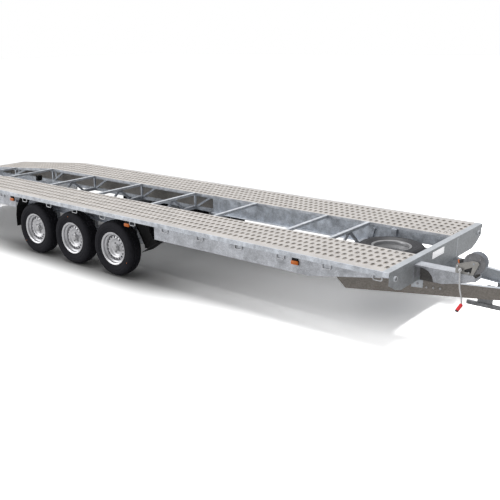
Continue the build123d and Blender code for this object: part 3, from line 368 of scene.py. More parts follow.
def punching_tree():
    """Repeats a cell over the runway, welds the cells and bends the sheet down behind the kink."""
    tree, given = new_group("punched_rows", (
        ("Holes Along", "Int", HOLES_ALONG), ("Holes Across", "Int", HOLES_ACROSS),
        ("Pitch Along", "Float", HOLE_PITCH_X), ("Pitch Across", "Float", HOLE_PITCH_Y),
        ("Middle", "Vector", None), ("Front", "Float", RUNWAY_FRONT), ("Kink", "Float", KINK_X),
        ("Slope", "Float", TAIL_SLOPE), ("Material", "Material", None),
        ("Collar Material", "Material", None)))

    def span(count, pitch):
        return maths(tree, "MULTIPLY", maths(tree, "SUBTRACT", given[count], 1), given[pitch])

    grid = add_node(tree, "GeometryNodeMeshGrid", {
        "Size X": span("Holes Along", "Pitch Along"), "Size Y": span("Holes Across", "Pitch Across"),
        "Vertices X": given["Holes Along"], "Vertices Y": given["Holes Across"]})
    centres = add_node(tree, "GeometryNodeTransform",
                       {"Geometry": grid.outputs["Mesh"], "Translation": given["Middle"]})
    repeat = add_node(tree, "GeometryNodeInstanceOnPoints",
                      {"Points": centres.outputs["Geometry"], "Instance": given["Geometry"]})
    real = add_node(tree, "GeometryNodeRealizeInstances", {"Geometry": repeat.outputs["Instances"]})
    weld = add_node(tree, "GeometryNodeMergeByDistance",
                    {"Geometry": real.outputs["Geometry"], "Distance": 0.0002})
    place = add_node(tree, "GeometryNodeInputPosition").outputs["Position"]
    place = add_node(tree, "ShaderNodeSeparateXYZ", {"Vector": place}).outputs
    behind = maths(tree, "MAXIMUM", maths(tree, "SUBTRACT", given["Kink"], place["X"]), 0)
    bent = add_node(tree, "ShaderNodeCombineXYZ", {
        "X": maths(tree, "MINIMUM", place["X"], given["Front"]), "Y": place["Y"],
        "Z": maths(tree, "SUBTRACT", place["Z"], maths(tree, "MULTIPLY", behind, given["Slope"]))})
    bend = add_node(tree, "GeometryNodeSetPosition",
                    {"Geometry": weld.outputs["Geometry"], "Position": bent.outputs["Vector"]})
    paint = add_node(tree, "GeometryNodeSetMaterial",
                     {"Geometry": bend.outputs["Geometry"], "Material": given["Material"]})
    pressed = add_node(tree, "GeometryNodeInputNamedAttribute", {"Name": "collar"}, data_type="BOOLEAN")
    collar_tone = add_node(tree, "GeometryNodeSetMaterial",
                    {"Geometry": paint.outputs["Geometry"], "Selection": pressed.outputs["Attribute"],
                     "Material": given["Collar Material"]})
    add_node(tree, "NodeGroupOutput", {"Geometry": collar_tone.outputs["Geometry"]})
    return tree


def runway_edges(side):
    """The plain margins of the sheet and the lips folded down along them."""
    mesh = bmesh.new()
    inner_rows = FIRST_HOLE_Y - HOLE_PITCH_Y / 2
    outer_rows = inner_rows + HOLES_ACROSS * HOLE_PITCH_Y
    outlines = (
        [(inner_rows, 0.0), (EDGE_IN + EDGE_BEND, 0.0), (EDGE_IN, -EDGE_BEND), (EDGE_IN, -LIP),
         (EDGE_IN + SHEET, -LIP), (EDGE_IN + SHEET, -SHEET), (inner_rows, -SHEET)],
        [(outer_rows, -SHEET), (EDGE_OUT - SHEET, -SHEET), (EDGE_OUT - SHEET, -LIP), (EDGE_OUT, -LIP),
         (EDGE_OUT, -EDGE_BEND), (EDGE_OUT - EDGE_BEND, 0.0), (outer_rows, 0.0)],
    )
    for outline in outlines:
        rings = []
        for x in (RUNWAY_FRONT, KINK_X, RUNWAY_REAR):
            rings.append([mesh.verts.new((x, side * y, deck_z(x) + z)) for y, z in outline])
        for a, b in zip(rings, rings[1:]):
            for k in range(len(outline) - 1):
                face = mesh.faces.new((a[k], a[k + 1], b[k + 1], b[k]))
                face.material_index = int(min(outline[k][1], outline[k + 1][1]) == -LIP)
    bmesh.ops.recalc_face_normals(mesh, faces=mesh.faces)
    return as_mesh(mesh, "runway_edges", runway_steel, tube_zinc)


def joined_pieces(name, *pieces):
    """Joins meshes that were made apart into one named piece."""
    bpy.ops.object.select_all(action="DESELECT")
    for piece in pieces:
        piece.select_set(True)
    bpy.context.view_layer.objects.active = pieces[0]
    bpy.ops.object.join()
    pieces[0].name = pieces[0].data.name = name
    return pieces[0]


def at(x, y, z):
    """The move to a point."""
    return Matrix.Translation((x, y, z))


def shaped(data, matrix):
    """A copy of a mesh moved by a matrix, with its faces outward."""
    copy = data.copy()
    mesh = bmesh.new()
    mesh.from_mesh(copy)
    mesh.transform(matrix)
    bmesh.ops.recalc_face_normals(mesh, faces=mesh.faces)
    mesh.to_mesh(copy)
    mesh.free()
    return copy


def placed(name, data, matrix=None):
    """A new object at the origin for a mesh, or for a copy that is moved by a matrix."""
    piece = bpy.data.objects.new(name, data if matrix is None else shaped(data, matrix))
    scene.collection.objects.link(piece)
    return piece


punching = punching_tree()
cell = punched_cell()
for side_name, side in SIDES:
    rows = placed("rows", cell.copy())
    modifier = rows.modifiers.new("punching", "NODES")
    modifier.node_group = punching
    middle_x = FIRST_HOLE_X - (HOLES_ALONG - 1) * HOLE_PITCH_X / 2
    middle_y = FIRST_HOLE_Y + (HOLES_ACROSS - 1) * HOLE_PITCH_Y / 2
    set_inputs(modifier, punching, middle=(middle_x, side * middle_y, DECK_Z), material=runway_steel,
               collar_material=collar_steel)
    made_plain(rows)
    runway = joined_pieces("punched_runway_" + side_name, rows, placed("edges", runway_edges(side)))
    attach(runway, "chassis")
    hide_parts("runway_" + side_name)


# Axles
# Three rubber torsion axles: hexagonal zinc plated tubes on brackets under the channels, with a
# trailing arm and a stub axle at each end.
axle_zinc = galvanised("axle_zinc", (0.42, 0.44, 0.47), cloud=0.15, size=0.7)
finish(axle_zinc, "axle_front", "axle_middle", "axle_rear")


# Wheels
# Pressed steel wheels in silver paint: a rolled rim, a disc with a ring of vent holes, five bolts
# and a small cap, with the brake drum behind. The tyres are plain road tyres with ribbed tread.
AXLES = {"front": -0.149, "middle": -0.879, "rear": -1.609}
WHEEL_Y, WHEEL_Z = 0.980, 0.325
QUARTER_TURN = math.radians(90)
VENTS, VENT_CIRCLE, VENT_RADIUS = 18, 0.1290, 0.0122
BOLTS, BOLT_CIRCLE, BOLT_SEAT = 5, 0.056, 0.0165
SPARE_X, SPARE_Z = 2.770, 0.5765
TREAD_CUT = 0.0045


def painted(name, colour, roughness=0.32, metallic=0.0, coat=0.25, mottle=0.04, specular=0.5):
    """Paint or moulded plastic with slight unevenness in tone and gloss."""
    paint, tree, shader = new_material(name)
    place = add_node(tree, "ShaderNodeTexCoord").outputs["Object"]
    haze = add_node(tree, "ShaderNodeTexNoise",
                    {"Vector": place, "Scale": 30.0, "Detail": 4}).outputs["Fac"]
    shade = two_tones(tree, haze, ((0.3, [c * (1 - 2 * mottle) for c in colour]),
                                   (0.7, [min(1, c * (1 + mottle)) for c in colour])))
    gloss = add_node(tree, "ShaderNodeMapRange", {"Value": haze, "To Min": roughness - 0.06,
                                                  "To Max": roughness + 0.08})
    grain = add_node(tree, "ShaderNodeTexNoise", {"Vector": place, "Scale": 420.0})
    bump = add_node(tree, "ShaderNodeBump", {"Strength": 0.08, "Distance": 0.0008,
                                             "Height": grain.outputs["Fac"]})
    feed(tree, shader, {"Metallic": metallic, "Coat Weight": coat, "Specular IOR Level": specular,
                        "Base Color": shade, "Roughness": gloss.outputs["Result"],
                        "Normal": bump.outputs["Normal"]})
    return paint


def turned(name, outline, material, segments=96, notch=lambda point, turn: point):
    """A closed outline of (radius, outward) points turned about the Y axis."""
    mesh = bmesh.new()
    rings = []
    for k in range(segments):
        angle = 2 * math.pi * k / segments
        points = [notch(point, k) for point in outline]
        rings.append([mesh.verts.new((r * math.cos(angle), d, r * math.sin(angle))) for r, d in points])
    for one, other in zip(rings, rings[1:] + rings[:1]):
        for j in range(len(outline)):
            i = (j + 1) % len(outline)
            mesh.faces.new((one[j], one[i], other[i], other[j]))
    bmesh.ops.remove_doubles(mesh, verts=mesh.verts, dist=0.00002)
    bmesh.ops.recalc_face_normals(mesh, faces=mesh.faces)
    return as_mesh(mesh, name, material)


def bolt_head(size, height, material):
    """A chamfered bolt head that stands on the XZ plane and points along +Y."""
    outline = [(0, 0), (size, 0), (size, height * 0.75), (size * 0.85, height), (0, height)]
    return turned("bolt_head", outline, material, segments=6)


def rounded(piece):
    """Smooth shading except over sharp edges."""
    piece.data.shade_smooth()
    piece.data.set_sharp_from_angle(angle=math.radians(34))
    return piece


rim_paint = painted("rim_paint", (0.56, 0.56, 0.58), roughness=0.30, metallic=0.60, coat=0.15)
# Painted shade: a darker copy of the rim paint for the spare wheel, seen into its dish.
dull_rim_paint = painted("dull_rim_paint", (0.34, 0.34, 0.35), roughness=0.38, metallic=0.60, coat=0.0)
tyre_rubber = painted("tyre_rubber", (0.016, 0.016, 0.020), roughness=0.75, coat=0.0, mottle=0.15,
                      specular=0.12)
# A lighter, glossier copy of the tyre rubber for the spare; its lighter colour is painted sheen.
spare_rubber = painted("spare_rubber", (0.024, 0.024, 0.028), roughness=0.46, coat=0.0, mottle=0.15,
                       specular=0.45)
bolt_zinc = galvanised("bolt_zinc", (0.45, 0.45, 0.46), cloud=0.10, size=0.2, metallic=0.7, roughness=0.35)
drum_iron = galvanised("drum_iron", (0.06, 0.058, 0.056), cloud=0.15, size=0.4, metallic=0.3, roughness=0.6)
mark_paint = painted("mark_paint", (0.65, 0.16, 0.02), roughness=0.5, coat=0.0)

side_wall = [(0.178, 0.0697), (0.190, 0.0705), (0.199, 0.0740), (0.204, 0.0785), (0.210, 0.0800),
             (0.216, 0.0810), (0.222, 0.0845), (0.232, 0.0878), (0.2415, 0.0903), (0.243, 0.0914),
             (0.252, 0.0925), (0.2535, 0.0918), (0.268, 0.0918), (0.2695, 0.0924), (0.276, 0.0920),
             (0.288, 0.0890), (0.300, 0.0840), (0.309, 0.0780), (0.3155, 0.0710), (0.3195, 0.0630)]
tread = [(0.3222, 0.0540), (0.3236, 0.0470), (0.3165, 0.0455), (0.3165, 0.0375), (0.3244, 0.0360),
         (0.3250, 0.0150), (0.3180, 0.0143), (0.3180, 0.0057), (0.3250, 0.0050)]
half_tyre = side_wall + tread
tyre_outline = half_tyre + [(r, -d) for r, d in reversed(half_tyre)]


def tread_blocks(point, turn):
    """Cross cuts over the tread's shoulders and ribs."""
    radius, outward = point
    shoulder = turn % 4 == 0 and radius > 0.3195 and abs(outward) > 0.036
    rib = turn % 4 == 2 and radius > 0.3240
    return (radius - TREAD_CUT if shoulder or rib else radius, outward)


tyre_mesh = turned("road_tyre", tyre_outline, tyre_rubber, segments=120, notch=tread_blocks)
barrel = [(0.1955, 0.0765), (0.1950, 0.0730), (0.1900, 0.0715), (0.1790, 0.0700), (0.1777, 0.0680),
          (0.1777, 0.0480), (0.1560, 0.0280), (0.1560, -0.0100), (0.1777, -0.0400), (0.1777, -0.0690),
          (0.1900, -0.0715), (0.1950, -0.0740), (0.1950, -0.0775), (0.1880, -0.0775),
          (0.1735, -0.0730), (0.1716, -0.0700), (0.1716, -0.0400), (0.1500, -0.0090), (0.1500, 0.0300),
          (0.1530, 0.0380), (0.1690, 0.0480), (0.1716, 0.0540), (0.1716, 0.0680), (0.1745, 0.0725),
          (0.1800, 0.0745), (0.1860, 0.0775), (0.1920, 0.0790), (0.1945, 0.0785)]
disc = [(0.1500, -0.0040), (0.1500, 0.0060), (0.1465, 0.0180), (0.1400, 0.0270), (0.1310, 0.0325),
        (0.1210, 0.0345), (0.1110, 0.0335), (0.1020, 0.0290), (0.0940, 0.0225), (0.0860, 0.0175),
        (0.0780, 0.0158), (0.0600, 0.0168), (0.0420, 0.0160), (0.0420, 0.0100), (0.0780, 0.0100),
        (0.0870, 0.0120), (0.0990, 0.0220), (0.1100, 0.0280), (0.1210, 0.0290), (0.1300, 0.0270),
        (0.1400, 0.0180), (0.1450, 0.0040), (0.1450, -0.0040)]
hub = [(0.0201, -0.0960), (0.1130, -0.0960), (0.1150, -0.0940), (0.1150, -0.0300), (0.1380, -0.0280),
       (0.1380, -0.0060), (0.1130, 0.0040), (0.0900, 0.0100), (0.0410, 0.0100), (0.0201, 0.0100)]
cap = [(0, 0.0100), (0.0410, 0.0100), (0.0410, 0.0300), (0.0385, 0.0335), (0.0335, 0.0350),
       (0.0330, 0.0440), (0.0300, 0.0485), (0.0220, 0.0500), (0, 0.0502)]


def with_vents(data, count, circle, radius):
    """Cuts a ring of round holes through a disc."""
    cutter = bmesh.new()
    for k in range(count):
        angle = 2 * math.pi * (k + 0.5) / count
        middle = at(circle * math.cos(angle), 0.02, circle * math.sin(angle))
        bmesh.ops.create_cone(cutter, cap_ends=True, segments=14, radius1=radius, radius2=radius,
                              depth=0.08, matrix=middle @ Matrix.Rotation(QUARTER_TURN, 4, "X"))
    wheel_disc, holes = placed("wheel_disc", data), placed("vent_cutter", as_mesh(cutter, "vent_cutter"))
    cut = wheel_disc.modifiers.new("vents", "BOOLEAN")
    cut.object, cut.solver = holes, "EXACT"
    made_plain(wheel_disc)
    bpy.data.objects.remove(holes)
    return wheel_disc


disc_piece = with_vents(turned("wheel_disc", disc, rim_paint), VENTS, VENT_CIRCLE, VENT_RADIUS)
barrel_mesh = turned("wheel_barrel", barrel, rim_paint)
hub_mesh = turned("brake_drum", hub, drum_iron, segments=64)
cap_mesh = turned("hub_cap", cap, bolt_zinc, segments=40)
bolt_mesh = bolt_head(0.0105, 0.014, bolt_zinc)


def rim_pieces(matrix, on_axle):
    """Barrel, disc, and on an axle the drum, cap and five bolts."""
    parts = [placed("barrel", barrel_mesh, matrix), placed("disc", disc_piece.data, matrix)]
    if on_axle:
        parts += [placed("hub", hub_mesh, matrix), placed("cap", cap_mesh, matrix)]
        for k in range(BOLTS):
            angle = 2 * math.pi * (k + 0.2) / BOLTS
            seat = at(BOLT_CIRCLE * math.cos(angle), BOLT_SEAT, BOLT_CIRCLE * math.sin(angle))
            parts.append(placed("bolt", bolt_mesh, matrix @ seat))
    return parts


dot_mesh = turned("paint_dot", [(0, 0), (0.005, 0), (0.0045, 0.0006), (0, 0.0006)], mark_paint, segments=12)
for axle_name, axle_x in AXLES.items():
    for side_name, side in SIDES:
        place = at(axle_x, side * WHEEL_Y, WHEEL_Z) @ Matrix.Diagonal((1, side, 1, 1))
        place = place @ Matrix.Rotation(axle_x * 3, 4, "Y")
        tyre = placed("tyre", tyre_mesh, place)
        dot = placed("dot", dot_mesh, place @ at(0.16, 0.0924, -0.215))
        tyre = rounded(joined_pieces("road_tyre_%s_%s" % (axle_name, side_name), tyre, dot))
        rim = rounded(joined_pieces("steel_rim_%s_%s" % (axle_name, side_name), *rim_pieces(place, True)))
        for piece, node, slot in ((tyre, "tyre", "tyre_rubber"), (rim, "rim", "rim_silver")):
            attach(piece, "wheel_%s_%s" % (axle_name, side_name))
            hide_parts("%s_%s_%s" % (node, axle_name, side_name))

spare_place = at(SPARE_X, 0, SPARE_Z) @ Matrix.Rotation(-QUARTER_TURN, 4, "X")
spare_tyre = rounded(joined_pieces("spare_road_tyre", placed("tyre", tyre_mesh, spare_place)))
spare_rim = rounded(joined_pieces("spare_steel_rim", *rim_pieces(spare_place, False)))
spare_rim.data.materials[0] = dull_rim_paint
spare_tyre.data.materials[0] = spare_rubber
for piece, node, slot in ((spare_tyre, "spare_tyre", "tyre_rubber"),
                          (spare_rim, "spare_rim", "rim_silver")):
    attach(piece, "chassis")
    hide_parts(node)
bpy.data.objects.remove(disc_piece)


# Drawbar
# Two tapered channels run from under the platform to the overrun unit, with a carrier of two
# rails below them that holds the jockey wheel's clamp.
ARM_SLOPE = 0.318               # how fast the arms close towards the coupling
# Painted shade: the outward faces of the arms' webs get a dark brown copy of the zinc, the other faces a
# pale one.
drawbar_zinc = galvanised("drawbar_zinc", (0.255, 0.232, 0.210), cloud=0.05, roughness=0.5, metallic=0.2)
inside_zinc = galvanised("inside_zinc", (0.58, 0.61, 0.65), cloud=0.12)
finish(drawbar_zinc, "drawbar_arm_left", "drawbar_arm_right")
# Painted shade: the carrier under the arms gets a dark copy of the zinc.
carrier_zinc = galvanised("carrier_zinc", (0.23, 0.235, 0.245), cloud=0.2, spangle=0.08, size=0.3,
                          painted_top_light=0.1)
finish(carrier_zinc, "drawbar_carrier")
for side_name, side in SIDES:
    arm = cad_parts["drawbar_arm_" + side_name]
    arm.data.materials.append(inside_zinc)
    for face in arm.data.polygons:
        face.material_index = int(side * face.normal.y < 0.8)


def block(name, size, material, bevel=0.0015):
    """A box with softened edges, centred on the origin."""
    mesh = bmesh.new()
    bmesh.ops.create_cube(mesh, size=1, matrix=Matrix.Diagonal((*size, 1)))
    bmesh.ops.bevel(mesh, geom=mesh.edges[:], offset=bevel, segments=2, affect="EDGES", profile=0.5)
    return as_mesh(mesh, name, material)


def bolt_tree():
    """A row of bolts along a line."""
    tree, given = new_group("bolt_row", (
        ("Count", "Int", 3), ("Start", "Vector", None), ("Step", "Vector", None),
        ("Turn", "Rotation", None), ("Material", "Material", None)))
    line = add_node(tree, "GeometryNodeMeshLine",
                    {"Count": given["Count"], "Start Location": given["Start"], "Offset": given["Step"]})
    repeat = add_node(tree, "GeometryNodeInstanceOnPoints",
                      {"Points": line.outputs["Mesh"], "Instance": given["Geometry"],
                       "Rotation": given["Turn"]})
    real = add_node(tree, "GeometryNodeRealizeInstances", {"Geometry": repeat.outputs["Instances"]})
    paint = add_node(tree, "GeometryNodeSetMaterial",
                     {"Geometry": real.outputs["Geometry"], "Material": given["Material"]})
    add_node(tree, "NodeGroupOutput", {"Geometry": paint.outputs["Geometry"]})
    return tree


bolt_rows = bolt_tree()


def bolt_row(start, step, count, turn):
    """Bolts from a start point at a step, with their heads turned from +Y."""
    row = placed("bolts", bolt_mesh.copy())
    modifier = row.modifiers.new("bolts", "NODES")
    modifier.node_group = bolt_rows
    set_inputs(modifier, bolt_rows, count=count, start=start, step=step, turn=(0, 0, turn),
               material=bolt_zinc)
    return made_plain(row)


arm_angle = math.atan(ARM_SLOPE)
for side_name, side in SIDES:
    turn = math.radians(90 - 90 * side) - side * arm_angle
    along = Vector((math.cos(arm_angle), -side * math.sin(arm_angle), 0))
    outward = Vector((math.sin(arm_angle), side * math.cos(arm_angle), 0))
    pad_middle = Vector((3.255, side * 0.4502, 0.485)) + outward * 0.0028
    pad = placed("pad", block("pad", (0.100, 0.006, 0.074), inside_zinc),
                 at(*pad_middle) @ Matrix.Rotation(turn, 4, "Z"))
    first = Vector((3.335, side * (0.468 - ARM_SLOPE * 0.135), 0.459))
    row = bolt_row(first - outward * 0.0005, along * 0.058, 3, turn)
    on_pad = first - along * 0.080 + Vector((0, 0, 0.026)) + outward * 0.0055
    inner = bolt_row(on_pad, along * -0.045, 2, turn)
    fastenings = rounded(joined_pieces("arm_fastenings_" + side_name, pad, row, inner))
    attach(fastenings, "chassis")


# Overrun unit, coupling and jockey wheel
# A zinc plated housing with a rubber bellows over the draw tube, a pressed ball coupling, and the
# jockey wheel in its telescopic tube.
cast_zinc = galvanised("cast_zinc", (0.30, 0.31, 0.33), cloud=0.12, size=0.3)
finish(cast_zinc, "overrun_housing", "coupling_head")
finish(tube_zinc, "jockey_tube", "jockey_leg", "jockey_fork", "jockey_pin")
solid_rubber = painted("solid_rubber", (0.03, 0.03, 0.032), roughness=0.6, coat=0.0, mottle=0.12)
finish(solid_rubber, "jockey_wheel")


# Winch
# A folded stand on the front beam's right half carries the hand winch: a frame of two cheeks, the
# drum with its gear wheel and rope, the ratchet, and a crank with a red grip.
WINCH_Y = -0.510
DRUM_X, DRUM_Z, PINION_X, PINION_Z = 3.778, 0.800, 3.678, 0.735
GEAR_FACE, ARM_FACE, CHEEK_FACE = 0.047, 0.083, 0.0578      # distances from the winch's middle
winch_steel = galvanised("winch_steel", (0.34, 0.33, 0.315), cloud=0.14, size=0.3,
                         roughness=0.38, metallic=0.5)
gear_steel = galvanised("gear_steel", (0.20, 0.20, 0.21), cloud=0.12, size=0.3,
                        roughness=0.34, metallic=0.6)
bright_steel = galvanised("bright_steel", (0.62, 0.62, 0.63), cloud=0.08, size=0.2,
                          roughness=0.28, metallic=0.8)
ratchet_black = painted("ratchet_black", (0.015, 0.015, 0.016), roughness=0.45, coat=0.0)
pawl_orange = painted("pawl_orange", (0.72, 0.16, 0.02), roughness=0.4, coat=0.1)
grip_red = painted("grip_red", (0.80, 0.035, 0.045), roughness=0.35, coat=0.3)
shaded_zinc = galvanised("shaded_zinc", (0.12, 0.115, 0.11), cloud=0.10, roughness=0.6, metallic=0.1)
finish(rail_zinc, "winch_stand")
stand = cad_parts["winch_stand"]
# Painted shade: the inner cheek's near-side faces and a dark plate below the cheek show the shade under the
# stand's top.
stand.data.materials.append(shaded_zinc)
for face in stand.data.polygons:
    face.material_index = int(face.normal.y < -0.8 and face.center.y > -0.45 and face.center.x > 3.28)
shade_plate = placed("shade_plate", block("shade_plate", (0.190, 0.005, 0.052), shaded_zinc), at(3.365, -0.4395, 0.5475))
shade_plate = rounded(joined_pieces("winch_stand_shade_plate", shade_plate))
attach(shade_plate, "chassis")
finish(winch_steel, "winch_frame")


def gear_wheel(name, teeth, root, tip, width, material):
    """A toothed disc about the Y axis, from y = 0 outward to its width."""
    mesh = bmesh.new()
    near, far = [], []
    for k in range(teeth):
        for share, radius in ((0.0, root), (0.28, root), (0.42, tip), (0.86, tip)):
            angle = 2 * math.pi * (k + share) / teeth
            near.append(mesh.verts.new((radius * math.cos(angle), 0, radius * math.sin(angle))))
            far.append(mesh.verts.new((radius * math.cos(angle), width, radius * math.sin(angle))))
    mesh.faces.new(near)
    mesh.faces.new(far)
    for k in range(len(near)):
        j = (k + 1) % len(near)
        mesh.faces.new((near[k], near[j], far[j], far[k]))
    bmesh.ops.recalc_face_normals(mesh, faces=mesh.faces)
    return as_mesh(mesh, name, material)


drum_gear = with_vents(gear_wheel("drum_gear", 48, 0.0875, 0.0935, 0.008, gear_steel), 4, 0.058, 0.0065)
drum_gear.data.transform(at(DRUM_X, WINCH_Y - GEAR_FACE, DRUM_Z))
drum_outline = [(0, -0.061), (0.008, -0.061), (0.008, -0.0392), (0.030, -0.0392), (0.030, 0.041),
                (0.085, 0.0415), (0.088, 0.043), (0.088, 0.047), (0.008, 0.047), (0.008, 0.061),
                (0, 0.061)]
rope_turns = [(0.043 + 0.003 * (k % 2), -0.036 + 0.0038 * k) for k in range(20)]
rope_outline = [(0.0305, -0.036), *rope_turns, (0.0305, 0.0385)]
to_drum = at(DRUM_X, WINCH_Y, DRUM_Z)
drum = rounded(joined_pieces(
    "geared_drum", drum_gear, placed("drum", turned("drum", drum_outline, lattice_zinc, 64), to_drum),
    placed("rope", turned("rope", rope_outline, bright_steel, 48), to_drum)))
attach(drum, "winch_drum")
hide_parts("winch_drum")


def flat_bar(points, width, depth, material):
    """A flat bar along a path that stays close to upright."""
    mesh = bmesh.new()
    corners = ((-width, -depth), (width, -depth), (width, depth), (-width, depth))
    rings = [[mesh.verts.new((x + a / 2, y + b / 2, z)) for a, b in corners] for x, y, z in points]
    for one, other in zip(rings, rings[1:]):
        for k in range(4):
            mesh.faces.new((one[k], one[(k + 1) % 4], other[(k + 1) % 4], other[k]))
    mesh.faces.new(rings[0])
    mesh.faces.new(rings[-1])
    bmesh.ops.recalc_face_normals(mesh, faces=mesh.faces)
    return as_mesh(mesh, "flat_bar", material)


to_pinion = at(PINION_X, WINCH_Y, PINION_Z)
shaft_outline = [(0, -0.092), (0.007, -0.092), (0.008, -0.090), (0.008, 0.0635), (0, 0.064)]
boss_outline = [(0, -0.0885), (0.014, -0.0885), (0.016, -0.0865), (0.016, -0.0745), (0, -0.074)]
pinion = gear_wheel("pinion", 14, 0.0215, 0.0265, 0.010, gear_steel)
bend = [(0.000, 0.004), (0.005, -0.070), (0.009, -0.130), (0.014, -0.165), (0.025, -0.205),
        (0.034, -0.240), (0.0395, -0.275), (0.0404, -0.3050)]
arm_points = [(PINION_X + x, WINCH_Y - ARM_FACE, PINION_Z + z) for x, z in bend]
grip_axis = Vector((-0.25, -0.68, -0.69)).normalized()
grip_start = Vector(arm_points[-1]) - grip_axis * 0.006
to_grip = at(*grip_start) @ grip_axis.to_track_quat("Y", "Z").to_matrix().to_4x4()
grip_ribs = [(0.0170 - 0.0014 * (k % 2), 0.008 + 0.005 * k) for k in range(12)]
grip_outline = [(0, 0), (0.012, 0), (0.015, 0.003), *grip_ribs, (0.0160, 0.070), (0, 0.070)]
end_outline = [(0, 0.0695), (0.0150, 0.0695), (0.0150, 0.075), (0.012, 0.079), (0, 0.079)]
crank = rounded(joined_pieces(
    "bent_crank", placed("shaft", turned("shaft", shaft_outline, bright_steel, 24), to_pinion),
    placed("boss", turned("boss", boss_outline, bright_steel, 24), to_pinion),
    placed("pinion", pinion, to_pinion @ at(0, -GEAR_FACE, 0)),
    placed("arm", flat_bar(arm_points, 0.012, 0.009, bright_steel)),
    placed("grip", turned("grip", grip_outline, grip_red, 28), to_grip),
    placed("grip_end", turned("grip_end", end_outline, ratchet_black, 28), to_grip)))
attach(crank, "winch_crank")
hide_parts("winch_crank")

lean = Matrix.Rotation(-0.3, 4, "Y")
tie_outline = [(0, -0.052), (0.007, -0.052), (0.007, 0.052), (0, 0.052)]
case = block("case", (0.046, 0.034, 0.038), ratchet_black, 0.004)
pawl = block("pawl", (0.012, 0.024, 0.030), pawl_orange, 0.003)
# A thin black sheet behind the frame's window is painted shade.
screen = block("screen", (0.072, 0.0018, 0.062), ratchet_black, 0.0004)
tie_bar = turned("tie_bar", tie_outline, winch_steel, 20)
ratchet = [placed("case", case, at(3.672, -0.536, 0.797) @ lean),
           placed("pawl", pawl, at(3.645, -0.541, 0.793) @ lean),
           placed("screen", screen, at(3.736, -0.5603, 0.744)),
           placed("tie_bar", tie_bar, at(3.745, WINCH_Y, 0.716))]
for x, z in ((3.645, 0.755), (3.745, 0.716)):
    for face, turn in ((-CHEEK_FACE, math.pi), (CHEEK_FACE, 0)):
        ratchet.append(bolt_row(Vector((x, WINCH_Y + face, z)), Vector((0, 2 * CHEEK_FACE, 0)), 1, turn))
ratchet = rounded(joined_pieces("winch_ratchet", *ratchet))
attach(ratchet, "chassis")


# Fittings on the front beam
# A blank white plate, a vertical weld seam beside it, and a bright tube end in each stake hole.
plate_white = painted("plate_white", (0.86, 0.86, 0.88), roughness=0.35, coat=0.3, mottle=0.01)
# The plate glows a little: painted light that lifts it out of the beam's shade.
plate_glow = plate_white.node_tree.nodes["Principled BSDF"].inputs
plate_glow["Emission Color"].default_value = (1, 1, 1, 1)
plate_glow["Emission Strength"].default_value = 0.40
weld_zinc = galvanised("weld_zinc", (0.80, 0.83, 0.87), cloud=0.05, size=0.3, metallic=0.0)
ring_outline = [(0.0192, 0.0141), (0.0200, 0.0160), (0.0245, 0.0160), (0.0252, 0.0150), (0.0252, 0.0),
                (0.0192, 0.0)]
ring = turned("ring", ring_outline, weld_zinc, 40)
plate = block("plate", (0.0012, 0.264, 0.066), plate_white, 0.0004)
seam = block("seam", (0.006, 0.012, 0.190), weld_zinc, 0.0025)
fittings = [placed("plate", plate, at(3.2686, -0.060, 0.684)),
            placed("seam", seam, at(3.2655, 0.400, 0.632))]
for side in (1, -1):
    to_hole = at(3.265, side * 0.950, 0.662) @ Matrix.Rotation(-QUARTER_TURN, 4, "Z")
    fittings.append(placed("ring", ring, to_hole))
fittings = rounded(joined_pieces("front_fittings", *fittings))
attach(fittings, "chassis")


# Guards, flaps and hooks
# Black plastic sheets keep road dirt off the frame ahead of the front wheels and behind the rear
# ones, and steel walls line the wheels' space. Bent rods under the rim take the lashing straps.
ARCH_RADIUS = 0.352
GUARD_Y, BOX_Y, WALL_SHEET = 0.879, 0.560, 0.003
BOX_FRONT, BOX_REAR, BOX_TOP, BOX_FRONT_DEPTH, BOX_REAR_DEPTH = 0.05, -4.66, 0.050, 0.260, 0.110
HOOK_PITCH, FIRST_HOOK, HOOK_WIDENING = 0.4955, 3.160, 1.4
black_plastic = painted("black_plastic", (0.012, 0.012, 0.013), roughness=0.7, coat=0.0, mottle=0.2,
                        specular=0.12)
finish(black_plastic, "front_guard_left", "front_guard_right", "rear_flap_left", "rear_flap_right")


def flat_sheet(name, outline, y, material):
    """A flat upright sheet along the trailer at y, from (x, z) points."""
    mesh = bmesh.new()
    near = [mesh.verts.new((x, y - WALL_SHEET / 2, z)) for x, z in outline]
    far = [mesh.verts.new((x, y + WALL_SHEET / 2, z)) for x, z in outline]
    mesh.faces.new(near)
    mesh.faces.new(far)
    for k in range(len(near)):
        j = (k + 1) % len(near)
        mesh.faces.new((near[k], near[j], far[j], far[k]))
    bmesh.ops.triangulate(mesh, faces=[face for face in mesh.faces if len(face.verts) > 4])
    bmesh.ops.recalc_face_normals(mesh, faces=mesh.faces)
    return as_mesh(mesh, name, material)


# Painted shade: the walls' inward faces are dark brown, and their outward faces get a pale lit zinc.
box_zinc = galvanised("box_zinc", (0.30, 0.282, 0.265), cloud=0.06, roughness=0.55, metallic=0.1)
bright_box_zinc = galvanised("bright_box_zinc", (0.66, 0.70, 0.76), cloud=0.20, metallic=0.15)
case = block("case", (0.060, 0.078, 0.080), black_plastic, 0.006)
junction = joined_pieces("junction_box", placed("case", case, at(-3.140, 0.190, 0.620)))
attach(junction, "chassis")
tyre_edge = [(AXLES["front"] + ARCH_RADIUS * math.cos(a), WHEEL_Z + ARCH_RADIUS * math.sin(a))
             for a in map(math.radians, range(70, 4, -5))]
guard_edge = [(0.333, 0.372), (0.556, 0.5235), (0.498, 0.560), (0.450, 0.640), (0.441, 0.655),
              (0.030, 0.655)]
box_edge = [(BOX_REAR, deck_z(BOX_REAR) - BOX_REAR_DEPTH), (KINK_X, DECK_Z - BOX_FRONT_DEPTH),
            (BOX_FRONT, DECK_Z - BOX_FRONT_DEPTH), (BOX_FRONT, DECK_Z - BOX_TOP),
            (KINK_X, DECK_Z - BOX_TOP), (BOX_REAR, deck_z(BOX_REAR) - BOX_TOP)]
